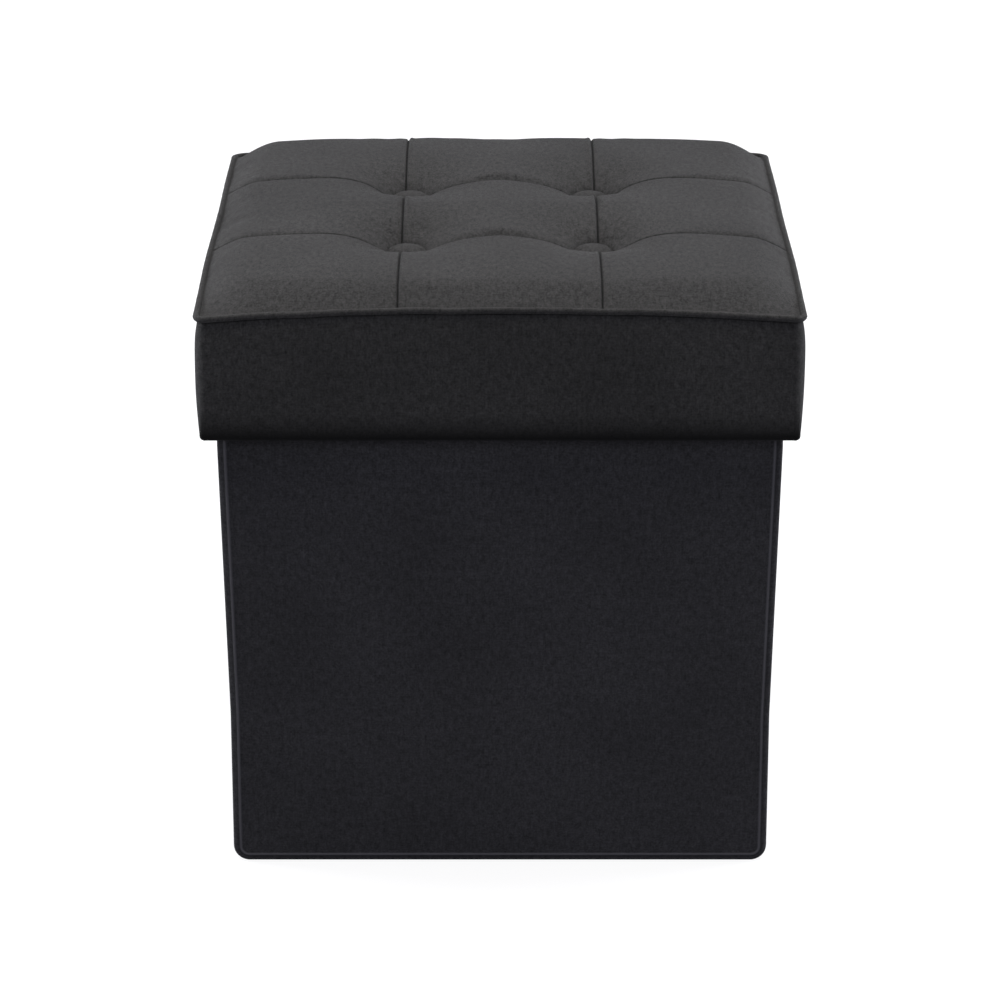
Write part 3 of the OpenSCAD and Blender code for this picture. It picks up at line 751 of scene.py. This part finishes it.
def relax_pad(count=97):
    """Lets a coarse copy of the sewn top swell as cloth, held at its edge, seams and buttons,
    and returns how far each point moved, as a grid. A movement m becomes
    m cap / (cap + |m|), so that it never passes the cap."""
    line = np.linspace(-PAD, PAD, count)
    x, y = np.meshgrid(line, line, indexing="ij")
    rest = np.stack([x, y, pad_surface(x, y)], axis=-1)
    faces = quads(count, count)[0]
    mesh = bpy.data.meshes.new("pad_cloth")
    mesh.from_pydata(rest.reshape(-1, 3), [], faces)
    obj = bpy.data.objects.new("pad_cloth", mesh)
    bpy.context.scene.collection.objects.link(obj)
    radius = np.hypot(np.abs(x) - BUTTON, np.abs(y) - BUTTON)
    seam_gap = np.minimum(np.abs(np.abs(x) - SEAM), np.abs(np.abs(y) - SEAM))
    edge = np.maximum(np.abs(x), np.abs(y)) > PAD - 1 * MM
    hold = obj.vertex_groups.new(name=PAD_CLOTH["vertex_group_mass"])
    held = edge | (radius < BUTTON_R) | (seam_gap < 2.0 * MM)
    hold.add(np.flatnonzero(held.ravel()).tolist(), 1.0, "REPLACE")
    cloth = obj.modifiers.new("cloth", "CLOTH")
    for key, value in PAD_CLOTH.items():
        setattr(cloth.settings, key, value)
    cloth.settings.effector_weights.gravity = 0.0
    cloth.collision_settings.use_collision = False
    cloth.point_cache.frame_end = CLOTH_STEPS
    scene = bpy.context.scene
    for number in range(1, CLOTH_STEPS + 1):
        scene.frame_set(number)
    done = obj.evaluated_get(bpy.context.evaluated_depsgraph_get())
    moved = np.empty(count * count * 3, np.float32)
    done.data.vertices.foreach_get("co", moved)
    scene.frame_set(1)
    bpy.data.objects.remove(obj)
    shift = moved.reshape(count, count, 3) - rest
    for _ in range(SMOOTHINGS):
        padded = np.pad(shift, ((1, 1), (1, 1), (0, 0)), mode="edge")
        shift = (padded[:-2, 1:-1] + padded[2:, 1:-1] + padded[1:-1, :-2] + padded[1:-1, 2:]
                 + 4 * shift) / 8
    longest = np.linalg.norm(shift, axis=-1, keepdims=True)
    return shift * SWELL_CAP / (SWELL_CAP + longest)


def sample(grid, x, y):
    """Bilinear reading of a square grid of values that spans the pad."""
    count = grid.shape[0] - 1
    u = np.clip((x + PAD) / (2 * PAD) * count, 0, count - 1e-6)
    v = np.clip((y + PAD) / (2 * PAD) * count, 0, count - 1e-6)
    i, j = u.astype(int), v.astype(int)
    s, t = (u - i)[..., None], (v - j)[..., None]
    return ((grid[i, j] * (1 - s) + grid[i + 1, j] * s) * (1 - t)
            + (grid[i, j + 1] * (1 - s) + grid[i + 1, j + 1] * s) * t)


def make_pad():
    """The padded top: a fine grid of the tufted surface, a wall that goes down inside the
    piping, and a flat underside. The seams are cut into the surface as narrow bells."""
    line = graded(PAD, 2.3 * MM, [(SEAM, 2.2 * MM, 0.45 * MM), (BUTTON, 17 * MM, 1.4 * MM),
                                  (PAD, 10 * MM, 1.3 * MM)])
    x, y = np.meshgrid(line, line, indexing="ij")
    shift = np.zeros(x.shape + (3,))
    shift = sample(relax_pad(), x, y)
    gap = np.minimum(np.abs(np.abs(x) - SEAM), np.abs(np.abs(y) - SEAM))
    cut = 1.3 * MM * bell(gap, 0.7 * MM)
    seam_and_shade = bell(gap, 0.6 * MM)
    z = pad_surface(x, y) - cut + 0.25 * MM * soft_wave(x, y, 3, 0.09)
    round_x, round_y = round_corners(x, y, PAD, PAD, 5 * MM, 5 * MM)
    surface = np.stack([drawn_in(round_x, y), round_y, z], axis=-1) + shift
    ring = border_numbers(*x.shape)
    border = surface.reshape(-1, 3)[ring]
    normal = loop_normals(border[:, :2])
    wall = [(0.1, -0.7), (-0.2, -1.8), (-0.6, -4.0), (-1.5, -7.0)]
    rings = [np.column_stack([border[:, :2] + normal * out * MM, border[:, 2] + down * MM])
             for out, down in wall]
    middle = np.array([[0.0, 0.0, PAD_LOW[2]]])
    points = np.concatenate([surface.reshape(-1, 3)] + rings + [middle])
    count, around = x.size, len(ring)
    faces = quads(*x.shape)[0]
    numbers = np.concatenate([ring[None], count + np.arange(around * len(wall)).reshape(len(wall), -1)])
    _, row, column = quads(*numbers.shape, wrap_columns=True)
    walls = numbers[row, column % around]
    last = numbers[-1]
    fan = np.stack([last, np.roll(last, -1), np.full(around, len(points) - 1)], axis=1)
    uvs = points[np.concatenate([faces.ravel(), walls.ravel(), fan.ravel()]), :2]
    all_faces = faces.tolist() + walls.tolist() + fan.tolist()
    marks = {"seam_and_shade": np.concatenate([seam_and_shade.ravel(), np.zeros(len(points) - count)])}
    obj = add_piece("padded_top", points, all_faces, uvs, [LID_CLOTH], body="lid", marks=marks,
                    slot="lid_fabric", replaces=("lid_top_cover", "lid_foam"))
    face_outwards(obj)


def lid_path(half, radius, step):
    """The path round the lid at half its width, drawn in as the lid's cloth is."""
    places, normals, run = square_path(half, half, radius, step)
    places[:, 0] = drawn_in(places[:, 0], places[:, 1])
    return places, normals, run


def make_welt():
    """Piping cord covered in the same cloth, on the arched edge line, a little uneven.

    Its section is a circle, and it is drawn in by 1.2 mm at the middle of a side.
    """
    path = lid_path(WELT, 7.5 * MM, 2.0 * MM)
    angle = np.linspace(0, math.tau, 13)[:-1, None]

    def profile(x, y, run):
        wobble = 0.35 * MM * soft_wave(x, y, 11, 0.07)
        low = np.minimum(np.abs(x), np.abs(y)) / WELT
        side = 0.3 * MM * soft_wave(y, x, 12, 0.16) - 1.2 * MM * (1 - low ** 4)
        radius = WELT_R * (1 + 0.05 * soft_wave(x, y, 13, 0.02))
        middle = welt_height(x, y) + 0.4 * MM + wobble
        return side - 0.3 * MM + radius * np.cos(angle), middle + radius * np.sin(angle)

    swept("piped_edge", path, profile, [LID_CLOTH], body="lid", slot="lid_fabric",
          replaces=("lid_welt",))


def make_band():
    """The lid's band: from under the piping down to a soft lower edge, then up inside.

    Going down, it stands out by a tuck of two exponentials under the piping, a bulge that is
    a power of sin, and a taper with the square of the way down. Over a rail it stays 0.8 mm
    clear of the wood. The lower lip is a half ellipse.
    """
    low = BAND_LOW[2]
    wide = BAND_HIGH[0]
    path = lid_path(wide, 8 * MM, 3.5 * MM)
    down = np.concatenate([[0.0, 0.5, 1.1, 1.8, 2.8, 4.2, 6.0, 8.5], np.linspace(12, 75, 17), [79]])
    edge_turn = np.linspace(0, math.pi, 9)[1:-1]
    lip = 4.0 * MM                       # radius of the lower lip
    turned_in = 8.1 * MM                 # from the band's face to its cloth inside the skirt
    behind = 6.0 * MM                    # and to where that cloth's end goes behind the lining

    def profile(x, y, run):
        top = welt_height(x, y) - 1.6 * MM
        share = down[:, None] / down[-1]
        z = top - share * (top - low - lip)
        tuck = -1.0 * MM * np.exp(-down[:, None] / 0.7) - 2.3 * MM * np.exp(-down[:, None] / 8.0)
        bulge = 0.8 * MM * np.sin(share * math.pi) ** 0.7
        taper = -1.2 * MM * share ** 2
        ripple = 0.22 * MM * soft_wave(x + y, z, 21, 0.05) + 0.3 * MM * soft_wave(x - y, z, 22, 0.16)
        cover = RAIL_HIGH[0] + 0.8 * MM - np.maximum(np.abs(x), np.abs(y))
        on_rail = z < RAIL_HIGH[2] + 3 * MM
        out = tuck + bulge + taper + ripple
        out = np.where(on_rail, np.maximum(out, cover), out)
        start_out, start_z = out[-1:], z[-1:]
        lip_out = start_out - lip * (1 - np.cos(edge_turn[:, None]))
        lip_z = start_z - (start_z - low - 0.1 * MM) * np.sin(edge_turn[:, None])
        rise = np.array([4.0, 9.0, 14.0, 19.0])[:, None] * MM
        in_out = np.broadcast_to(start_out - turned_in, (4, len(x)))
        in_z = low + rise + 0 * x
        back_out = np.broadcast_to(start_out - behind, (2, len(x)))
        back_z = low + np.array([19.0, 60.0])[:, None] * MM + 0 * x
        return (np.concatenate([out, lip_out, in_out, back_out]),
                np.concatenate([z, lip_z, in_z, back_z]))

    # Painted shade: the lower lip darkens towards the inside, and the cloth turned in under the skirt is
    # dark, as shade under the lid.
    lip_shade = [0.15, 0.35, 0.6, 0.9]
    inside = len(edge_turn) + 6
    shade = np.concatenate([np.zeros(len(down) - len(lip_shade)), lip_shade, np.ones(inside)])[:, None]
    swept("lid_band_cloth", path, profile, [LID_CLOTH], body="lid", slot="lid_fabric",
          marks={"seam_and_shade": shade}, replaces=("lid_band",))


def make_button(name, x, y):
    """Covered button: a dome whose cloth is gathered in shallow folds towards its rim.

    Height over radius is (1 - r^2.6)^0.55 above the rim, the folds are cos(13 a) r^5, and
    the underside is nearly flat.
    """
    count = 72
    angle = np.linspace(0, math.tau, count + 1)[:-1][None, :]
    share = np.array([0.04, 0.14, 0.26, 0.38, 0.5, 0.61, 0.71, 0.8, 0.87, 0.93, 0.97, 1.0])[:, None]
    dome_rise = 5.2 * MM
    rim_z = BUTTON_TOP - 3.8 * MM
    folds = 0.35 * MM * np.cos(13 * angle + x * 900) * share ** 5
    dome_r = share * BUTTON_R * 1.04
    dome_z = rim_z + dome_rise * np.clip(1 - share ** 2.6, 0, None) ** 0.55 + folds
    under_r = BUTTON_R * np.array([1.03, 1.0, 0.93, 0.5, 0.05])[:, None]
    under_z = rim_z - np.array([1.0, 2.0, 2.7, 3.0, 3.0])[:, None] * MM
    radius = np.concatenate([dome_r + 0 * angle, under_r + 0 * angle])
    z = np.concatenate([dome_z, under_z + 0 * angle])
    points = np.stack([x + radius * np.cos(angle), y + radius * np.sin(angle), z], axis=-1)
    flat = points[..., :2] + 0.3
    # Painted shade: the underside darkens inwards from the rim, as shade under the button.
    marks = {"seam_and_shade": np.concatenate([np.zeros(len(share)), [0.2, 0.6, 1, 1, 1]])[:, None] + 0 * radius}
    capped_tube(name, points, lambda row, column: flat[row, column % count],
                np.concatenate([flat[0], flat[-1]]), LID_CLOTH, body="lid", marks=marks,
                slot="lid_fabric", replaces=("tuft_" + name,))


def make_lid_lining():
    """Lining under the plate, dimpled as a bell under each button, and the strip that faces
    the inside of the skirt, gathered as a sine of the distance run."""
    low, high = span("lid_lining")
    half = high[0]
    line = graded(half - 3 * MM, 8 * MM, [(BUTTON, 9 * MM, 3 * MM)])

    def dimple(a, b):
        r = np.hypot(np.abs(a) - BUTTON, np.abs(b) - BUTTON)
        return 0.15 * MM * soft_wave(a, b, 31, 0.07) - 0.5 * MM * np.exp(-(r / (9 * MM)) ** 2)

    rim = in_metres([(0, 0, 0, 0), (2.4, -0.1, 0, 0), (2.9, -0.5, 0, 0), (0, -0.9, 0, 0)])
    ceiling = high[2] - 1.0 * MM
    obj = padded_board("lid_ceiling_cloth", line, line, rim, 0.9 * MM,
                       lambda a, b, c: np.stack([a, b, ceiling - c * 0.9 + 0.05 * MM], axis=-1),
                       3 * MM, 3 * MM, dimple, [LINING], body="lid", slot="lining_cloth",
                       replaces=("lid_lining",))
    path = square_path(half, half, 2.5 * MM, 5 * MM)

    def profile(x, y, run):
        gather = 0.15 * MM * np.sin(run / (9 * MM)) + 0.1 * MM * soft_wave(x, y, 32, 0.04)
        z = np.concatenate([np.linspace(low[2], ceiling, 9), np.linspace(ceiling, low[2], 9)])
        out = np.concatenate([np.full(9, -0.9 * MM), np.full(9, -0.1 * MM)])
        weight = np.concatenate([np.linspace(1, 0, 9), np.zeros(9)])
        return out[:, None] + weight[:, None] * gather, z[:, None] + 0 * x

    obj = swept("skirt_lining", path, profile, [LINING], body="lid", slot="lining_cloth")


# ---------------------------------------------------------------- walls

def flare(z):
    """How far the box's cloth stands out sideways: it fills out towards the top and draws
    in towards the foot, a straight line of the height between two limits."""
    upright, slope, foot, top = 170 * MM, 0.0245, -1.6 * MM, 2.9 * MM
    return np.clip((z - upright) * slope, foot, top)


def wall_rim(ridge):
    """Rim of a wall, from the outer face round to the inner: a sewn line near the edge if
    wanted, then a rounded edge. Each row is (out, down, seam, edge), lengths in millimetres."""
    # On the bead the fourth value paints a highlight along the ridge's crest, and the third darkens the
    # stitch lines beside it.
    bead = [(0.8, 0, 0, 0), (1.5, 0, 0.1, 0), (2.1, 0, 0, 0.3), (2.6, 0.25, 0, 0.9),
            (3.1, 0.4, 0, 1.0), (3.6, 0.2, 0, 0.4), (4.2, -0.1, 0.35, 0), (5.2, -0.1, 0, 0)]
    plain = [(2.5, 0, 0, 0), (4.5, -0.05, 0, 0), (5.8, -0.2, 0, 0)]
    turn = [(6.8, -0.5, 0, 0), (7.5, -1.2, 0, 0), (7.85, -2.0, 0, 0), (8.0, -3.2, 0, 0),
            (8.0, -5.0, 0, 0), (7.6, -6.4, 0, 0), (6.4, -7.5, 0.3, 0), (4.5, -8.0, 0, 0)]
    rows = [(0, 0, 0, 0)] + (bead if ridge else plain) + turn + [(0, -8.0, 0, 0)]
    return in_metres(rows)


def in_metres(rim):
    """A rim whose lengths are in millimetres, with its lengths in metres."""
    return [(out * MM, down * MM, seam_and_shade, edge) for out, down, seam_and_shade, edge in rim]


RIM = 8 * MM                             # width of a wall's rim
LINING_FOOT = 9 * MM                     # height of the foot of the corner linings


def make_front_wall():
    """Front wall: full height, round lower corners and a sewn ridge just inside its edge.
    The cloth swells a little and has one slack fold from the upper right, a bell that is
    long one way and narrow the other, on axes turned by about 41 degrees."""
    fold_x, fold_z = 128 * MM, 232 * MM
    half = (TOP - 2 * RIM) / 2
    a = graded(OUT - RIM, 4.5 * MM, [(OUT - RIM, 4 * MM, 0.7 * MM)])
    b = graded(half, 4.5 * MM, [(half, 4 * MM, 0.7 * MM)]) + half + RIM

    def swell(x, z):
        inside = np.clip((OUT - np.abs(x)) / (40 * MM), 0, 1) * np.clip(z / (40 * MM), 0, 1)
        pull = 0.4 * MM * inside + 0.18 * MM * soft_wave(x, z, 41, 0.12) * inside
        slant = (x - fold_x) * 0.66 - (z - fold_z) * 0.75
        length = (x - fold_x) * 0.75 + (z - fold_z) * 0.66
        fold = np.exp(-(slant / (17 * MM)) ** 2 - (length / (62 * MM)) ** 2)
        piped = 0.9 * MM * bell(x + OUT - 5.0 * MM, 1.4 * MM) * np.clip((z - 10 * MM) / (20 * MM), 0, 1)
        return pull + 0.7 * MM * fold * inside + piped

    def place(x, z, c):
        return np.stack([x * (1 + flare(z) / OUT), FRONT_LOW[1] - c, z], axis=-1)

    padded_board("front_wall_cloth", a, b, wall_rim(True), WALL, place, 2.5 * MM, 1.5 * MM,
                 swell, [BOX_CLOTH, LINING], body="front_wall", slot="box_fabric",
                 replaces=("front_cover", "front_board", "front_lining"))


def make_back_wall():
    """Back wall: as the front, but it stops above the hem and has no slack fold."""
    a = graded(OUT - RIM, 6 * MM, [(OUT - RIM, 4 * MM, 0.7 * MM)])
    half = (TOP - HEM) / 2 - RIM
    b = graded(half, 6 * MM, [(half, 4 * MM, 0.7 * MM)]) + (TOP + HEM) / 2

    def swell(x, z):
        inside = np.clip((OUT - np.abs(x)) / (40 * MM), 0, 1)
        return 0.35 * MM * inside + 0.18 * MM * soft_wave(x, z, 42, 0.12) * inside

    padded_board("back_wall_cloth", a, b, wall_rim(True), WALL,
                 lambda x, z, c: np.stack([x * (1 + flare(z) / OUT), c - FRONT_LOW[1], z], axis=-1),
                 2 * MM, 1.5 * MM,
                 swell, [BOX_CLOTH, LINING], body="back_wall", slot="box_fabric",
                 replaces=("back_cover", "back_board", "back_lining"))


def make_side_wall(name, side):
    """One side's cloth, whole across the fold, with a pressed crease where it bends.

    The crease is a narrow bell of y, and a wider bell hollows the inner face behind it.
    """
    a = graded(HALF - RIM, 6 * MM, [(0, 8 * MM, 1.2 * MM)])
    b = np.linspace(HEM + RIM, TOP - RIM, 56)

    def swell(y, z):
        inside = np.clip((HALF - np.abs(y)) / (30 * MM), 0, 1)
        crease = 0.55 * MM * np.exp(-(y / (1.6 * MM)) ** 2)
        puff = 0.35 * MM * (1 - np.exp(-(y / (14 * MM)) ** 2)) * inside
        return puff - crease + 0.15 * MM * soft_wave(y, z, 43 + side, 0.11) * inside

    def place(y, z, c):
        depth = np.clip(-c / WALL, 0, 1)
        hollow = 2.2 * MM * bell(y, 8 * MM) * depth
        return np.stack([side * (OUT + c + hollow + flare(z) * (1 - depth)), y, z], axis=-1)

    front, rear = name + "_front", name + "_rear"
    obj = padded_board(name + "_wall_cloth", a, b, wall_rim(False), WALL, place,
                       1.5 * MM, 1.5 * MM, swell, [BOX_CLOTH, LINING], slot="box_fabric",
                       replaces=tuple(panel + layer for panel in (front, rear)
                                      for layer in ("_cover", "_board", "_lining")))
    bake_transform(obj)


def strip(name, x, y, z_low, z_high, thickness, side, cloth, bulge=0.0, lean=0, **piece):
    """Upright strip of cloth: x and y give its line on the plan, thickness is laid inwards.

    Its middle waves in and out with the height, and where it leans it follows the box's
    flare and draws in towards both tips with the square of the way there.
    """
    rows = 40
    foot_tip, top_tip, tip_in = 6 * MM, 4 * MM, 1.6 * MM
    z = np.linspace(z_low, z_high, rows)
    line = np.stack([x, y], axis=1)
    back = line.copy()
    back[:, 0] -= side * thickness
    section = np.concatenate([line, back[::-1]])
    hump = np.sin(np.linspace(0, math.pi, len(line)))
    hump = np.concatenate([hump, hump[::-1]])
    wave = bulge * soft_wave(z * 0, z, 51, 0.05)
    points = np.zeros((rows, len(section), 3))
    points[..., 0] = section[None, :, 0]
    points[..., 1] = section[None, :, 1]
    points[..., 0] += side * wave[:, None] * MM * hump[None, :]
    points[..., 0] += side * lean * flare(z)[:, None]
    tip = np.clip((z_low + foot_tip - z) / foot_tip, 0, 1) ** 2
    tip += np.clip((z - z_high) / top_tip + 1, 0, 1) ** 2
    points[..., 0] -= side * tip_in * tip[:, None] * lean
    points[..., 2] = z[:, None]
    run = run_along(section)
    run = np.append(run, run[-1] + thickness)
    return capped_tube(name, points, lambda row, column: np.stack([run[column], z[row]], axis=-1),
                       np.concatenate([section, section]), cloth, **piece)


def make_corner(name, side, end, wall_body):
    """Soft upright corner between a side wall and the front or back wall, outside and in.

    On the plan each is half a sine wave, out on the outside and in on the inside. Three
    outer strips lie between one body and the other and are left without one; the fourth, where the ring
    is open, goes with its wall.
    """
    is_open = (side, end) == (1, 1)
    lap = 4.5 * MM                       # of the strip over each wall's end
    share = np.linspace(0, 1, 13)
    half_sine = np.sin(math.pi * share)
    near, far = HALF + 0.4 * MM if is_open else HALF - lap, IN + lap
    y = end * (near + (far - near) * share)
    x = side * (OUT - 1.3 * MM + 0.9 * MM * half_sine)
    outer = strip(name + "_corner", x, y, FLOOR_HIGH[2] + 0.8 * MM, TOP - 3 * MM, 1.2 * MM, side,
                  BOX_CLOTH, bulge=0.25, lean=1, slot="box_fabric", replaces=(name + "_gusset",))
    y_in = end * (HALF - 0.3 * MM + (IN - HALF + 1.5 * MM) * share)
    x_in = side * (IN + 0.8 * MM - 0.5 * MM * half_sine)
    strip(name + "_corner_lining", x_in, y_in, LINING_FOOT, TOP - 4 * MM, -0.8 * MM, side, LINING,
          bulge=0.2, body=wall_body, slot="lining_cloth")
    if is_open:
        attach(outer, wall_body)
    else:
        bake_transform(outer)


def make_corner_tuck():
    """Cloth folded into the right rear corner: an arc about the hinge line, which turns out
    with the side wall and fills the gap behind it."""
    angle = np.linspace(math.radians(-4), math.radians(88), 14)
    radius = 5.6 * MM
    x = IN + radius * np.cos(angle)
    y = HALF + radius * np.sin(angle)
    strip("back_right_tuck", x, y, LINING_FOOT, TOP - 4 * MM, 0.8 * MM, 1, BOX_CLOTH,
          body="right_rear_panel", slot="box_fabric")


def rounded_square(angle):
    """A square with round corners, from -1 to 1 each way: the signed root of cos and sin."""
    return (np.sign(np.cos(angle)) * np.abs(np.cos(angle)) ** 0.5,
            np.sign(np.sin(angle)) * np.abs(np.sin(angle)) ** 0.5)


def hem_block(name, low, high, body, node):
    """Soft hem: a strip with rounded lower edge that stands on the ground. Its ends narrow to
    about a third by sqrt(1 - |t|^40), t from -1 to 1."""
    count, around = 60, 16
    tucked_up = 1.2 * MM
    size = high - low
    turned = size[0] > size[1]
    length, width = (2 * OUT - 4 * MM, size[1]) if turned else (size[1], size[0])
    tall = size[2] + tucked_up
    t = np.linspace(0, 1, count)[:, None]
    across, up = rounded_square(np.linspace(0, math.tau, around + 1)[:-1][None, :])
    across, up = across * width / 2, up * tall / 2
    end = 0.35 + 0.65 * np.sqrt(1 - np.abs(2 * t - 1) ** 40)
    across, up = across * end, up * end
    middle = (low + high) / 2
    along = (t - 0.5) * length
    sway = 0.25 * MM * soft_wave(along, 0 * along, 61, 0.06)
    u = np.broadcast_to(along, (count, around))
    v = across + sway
    x, y = (u, v) if turned else (v, u)
    z = low[2] + tall / 2 + up
    points = np.stack([middle[0] + x, middle[1] + y, np.broadcast_to(z, u.shape)], axis=-1)
    pitch = 1.2 * MM                     # of the weave's rows round the strip
    obj = capped_tube(name, points,
                      lambda row, column: np.stack([along[:, 0][row], column * pitch], axis=-1),
                      np.concatenate([points[0], points[-1]])[:, [1, 2]], BOX_CLOTH,
                      body=body, slot="box_fabric", replaces=(node,))
    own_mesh(obj)


# ---------------------------------------------------------------- floor

def laid_flat(middle, top):
    """Puts the flat coordinates of a board round middle, with its upper face at top."""
    return lambda x, y, c: np.stack([x + middle[0], y + middle[1], top + c], axis=-1)


def make_floor():
    """Floor board in its cloth wrap, turned under at the edges."""
    middle = (FLOOR_LOW + FLOOR_HIGH) / 2
    half = (FLOOR_HIGH - FLOOR_LOW) / 2
    inset = 3 * MM
    a = graded(half[0] - inset, 7 * MM, [])
    b = graded(half[1] - inset, 7 * MM, [])
    rim = in_metres([(0, 0, 0, 0), (1.6, 0, 0, 0), (2.5, -0.35, 0, 0), (3.0, -1.2, 0, 0.2),
                     (3.0, -2.8, 0, 0.2), (2.5, -3.65, 0, 0), (1.6, -4.0, 0, 0), (0, -4.0, 0, 0)])
    padded_board("floor_board_cloth", a, b, rim, FLOOR_HIGH[2] - FLOOR_LOW[2],
                 laid_flat(middle, FLOOR_HIGH[2]), 3 * MM, 3 * MM,
                 lambda x, y: 0.06 * MM * soft_wave(x, y, 71, 0.05),
                 [LINING], body="floor", slot="lining_cloth", replaces=("floor_wrap", "floor_board"))


def ribbon_strip(name, line, width, thickness, material, **piece):
    """A flat band of given width along X, whose middle follows line, an array of (y, z):
    half its thickness is laid to each side along the line's normal."""
    along = np.gradient(line, axis=0)
    along /= np.linalg.norm(along, axis=1)[:, None]
    normal = np.stack([-along[:, 1], along[:, 0]], axis=1) * thickness / 2
    wide = 9
    x = np.linspace(-width / 2, width / 2, wide)
    upper, lower = line + normal, line - normal
    ring_x = np.concatenate([x, x[::-1]])
    points = np.zeros((len(line), 2 * wide, 3))
    points[..., 0] = ring_x[None, :]
    points[:, :wide, 1:] = upper[:, None, :]
    points[:, wide:, 1:] = lower[:, None, :]
    run, closed_x = run_along(line), np.append(ring_x, ring_x[0])
    return capped_tube(name, points,
                       lambda row, column: np.stack([closed_x[column], run[row]], axis=-1),
                       np.tile(np.stack([ring_x, 0 * ring_x], axis=-1), (2, 1)), material, **piece)


def make_ribbon():
    """Pull ribbon: up over the floor's free edge and doubled back on itself, in straights
    joined by short turns."""
    low, high = span("floor_ribbon")
    t = 0.36 * MM
    edge, top = FLOOR_HIGH[1] + t * 0.6, FLOOR_HIGH[2] + t * 0.6
    start = low[1] + 0.8 * MM
    out = np.linspace(edge - 0.5 * MM, start, 14)
    under = [(edge, FLOOR_LOW[2] + 0.4 * MM), (edge, FLOOR_LOW[2] + 2.0 * MM),
             (edge - 0.02 * MM, top - 0.2 * MM)]
    lower = [(y, top) for y in out]
    upper = [(y, top + t * 1.15) for y in out[::-1][1:-2]]
    turn = [(start - 0.25 * MM, top + t * 0.58)]
    line = np.array(under + lower + turn + upper, float)
    obj = ribbon_strip("floor_pull_ribbon", line, high[0] - low[0], t, RIBBON,
                       body="floor", slot="ribbon", replaces=("floor_ribbon",))


def make_hinge_tape():
    """Cloth hinge: down the front wall's lining, then under the floor board, in two
    straights joined by a short turn."""
    low, high = span("floor_hinge_tape")
    t = 0.45 * MM
    y, z = low[1] + t / 2, low[2] + t / 2
    down = [(y, s) for s in np.linspace(high[2], z + 1.0 * MM, 10)]
    turn = [(y + 0.3 * MM, z + 0.3 * MM)]
    along = [(s, z) for s in np.linspace(y + 1.0 * MM, high[1], 22)]
    line = np.array(down + turn + along, float)
    obj = ribbon_strip("floor_hinge_cloth", line, high[0] - low[0], t, LINING,
                       slot="lining_cloth", replaces=("floor_hinge_tape",))
    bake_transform(obj)


def make_floor_cloth():
    """Thin flat cloth bottom with a thin round edge."""
    low, high = span("floor_cloth")
    middle, half = (low + high) / 2, (high - low) / 2
    a = graded(half[0] - 2 * MM, 8 * MM, [])
    b = graded(half[1] - 2 * MM, 8 * MM, [])
    rim = in_metres([(0, 0, 0, 0), (1.7, -0.05, 0, 0), (2.0, -0.25, 0, 0), (1.7, -0.4, 0, 0),
                     (0, -0.45, 0, 0)])
    obj = padded_board("bottom_cloth", a, b, rim, 0.45 * MM,
                       laid_flat(middle, high[2]), 3 * MM, 3 * MM, lambda x, y: 0.0 * x,
                       [LINING], body="front_wall",
                       slot="lining_cloth", replaces=("floor_cloth",))
    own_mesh(obj)


# ---------------------------------------------------------------- CAD pieces that stay

def finish_hidden_pieces():
    """Materials for the pieces that keep their CAD shape: boards, rails, plate, fasteners and
    twine."""
    for node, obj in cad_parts.items():
        if node.endswith("_board") or node.endswith("_rail") or node == "lid_plate":
            material = BOARD
        elif node in ("lid_nails", "lid_staples") or "anchor" in node:
            material = STEEL
        elif "twine" in node:
            material = TWINE
        else:
            continue
        obj.data.materials.clear()
        obj.data.materials.append(material)


def make_ground():
    """Pale floor of the studio, wide enough to pass the view on every side."""
    reach = 40.0
    corners = [(-reach, -reach, 0), (reach, -reach, 0), (reach, reach, 0), (-reach, reach, 0)]
    mesh = bpy.data.meshes.new("ground")
    mesh.from_pydata(corners, [], [(0, 1, 2, 3)])
    mesh.materials.append(studio_floor("pale_floor"))
    ground = bpy.data.objects.new("ground", mesh)
    bpy.context.scene.collection.objects.link(ground)


aim_camera()
light_studio()
fill_room()
make_ground()
make_pad()
make_welt()
make_band()
for quarter in QUARTERS:
    sign_y = -1 if quarter.startswith("front") else 1
    sign_x = -1 if quarter.endswith("left") else 1
    make_button("button_" + quarter, sign_x * BUTTON, sign_y * BUTTON)
make_lid_lining()
make_front_wall()
make_back_wall()
make_side_wall("left", -1)
make_side_wall("right", 1)
for end, wall, part in ((-1, "front", "front"), (1, "back", "rear")):
    for side, hand in ((-1, "left"), (1, "right")):
        make_corner(wall + "_" + hand, side, end, wall + "_wall")
make_corner_tuck()
for panel in PANELS:
    hem_block(panel + "_hem_cloth", *span(panel + "_hem"), panel + "_panel", panel + "_hem")
hem_block("back_hem_cloth", *span("back_hem"), "back_wall", "back_hem")
make_floor()
make_ribbon()
make_hinge_tape()
make_floor_cloth()
finish_hidden_pieces()
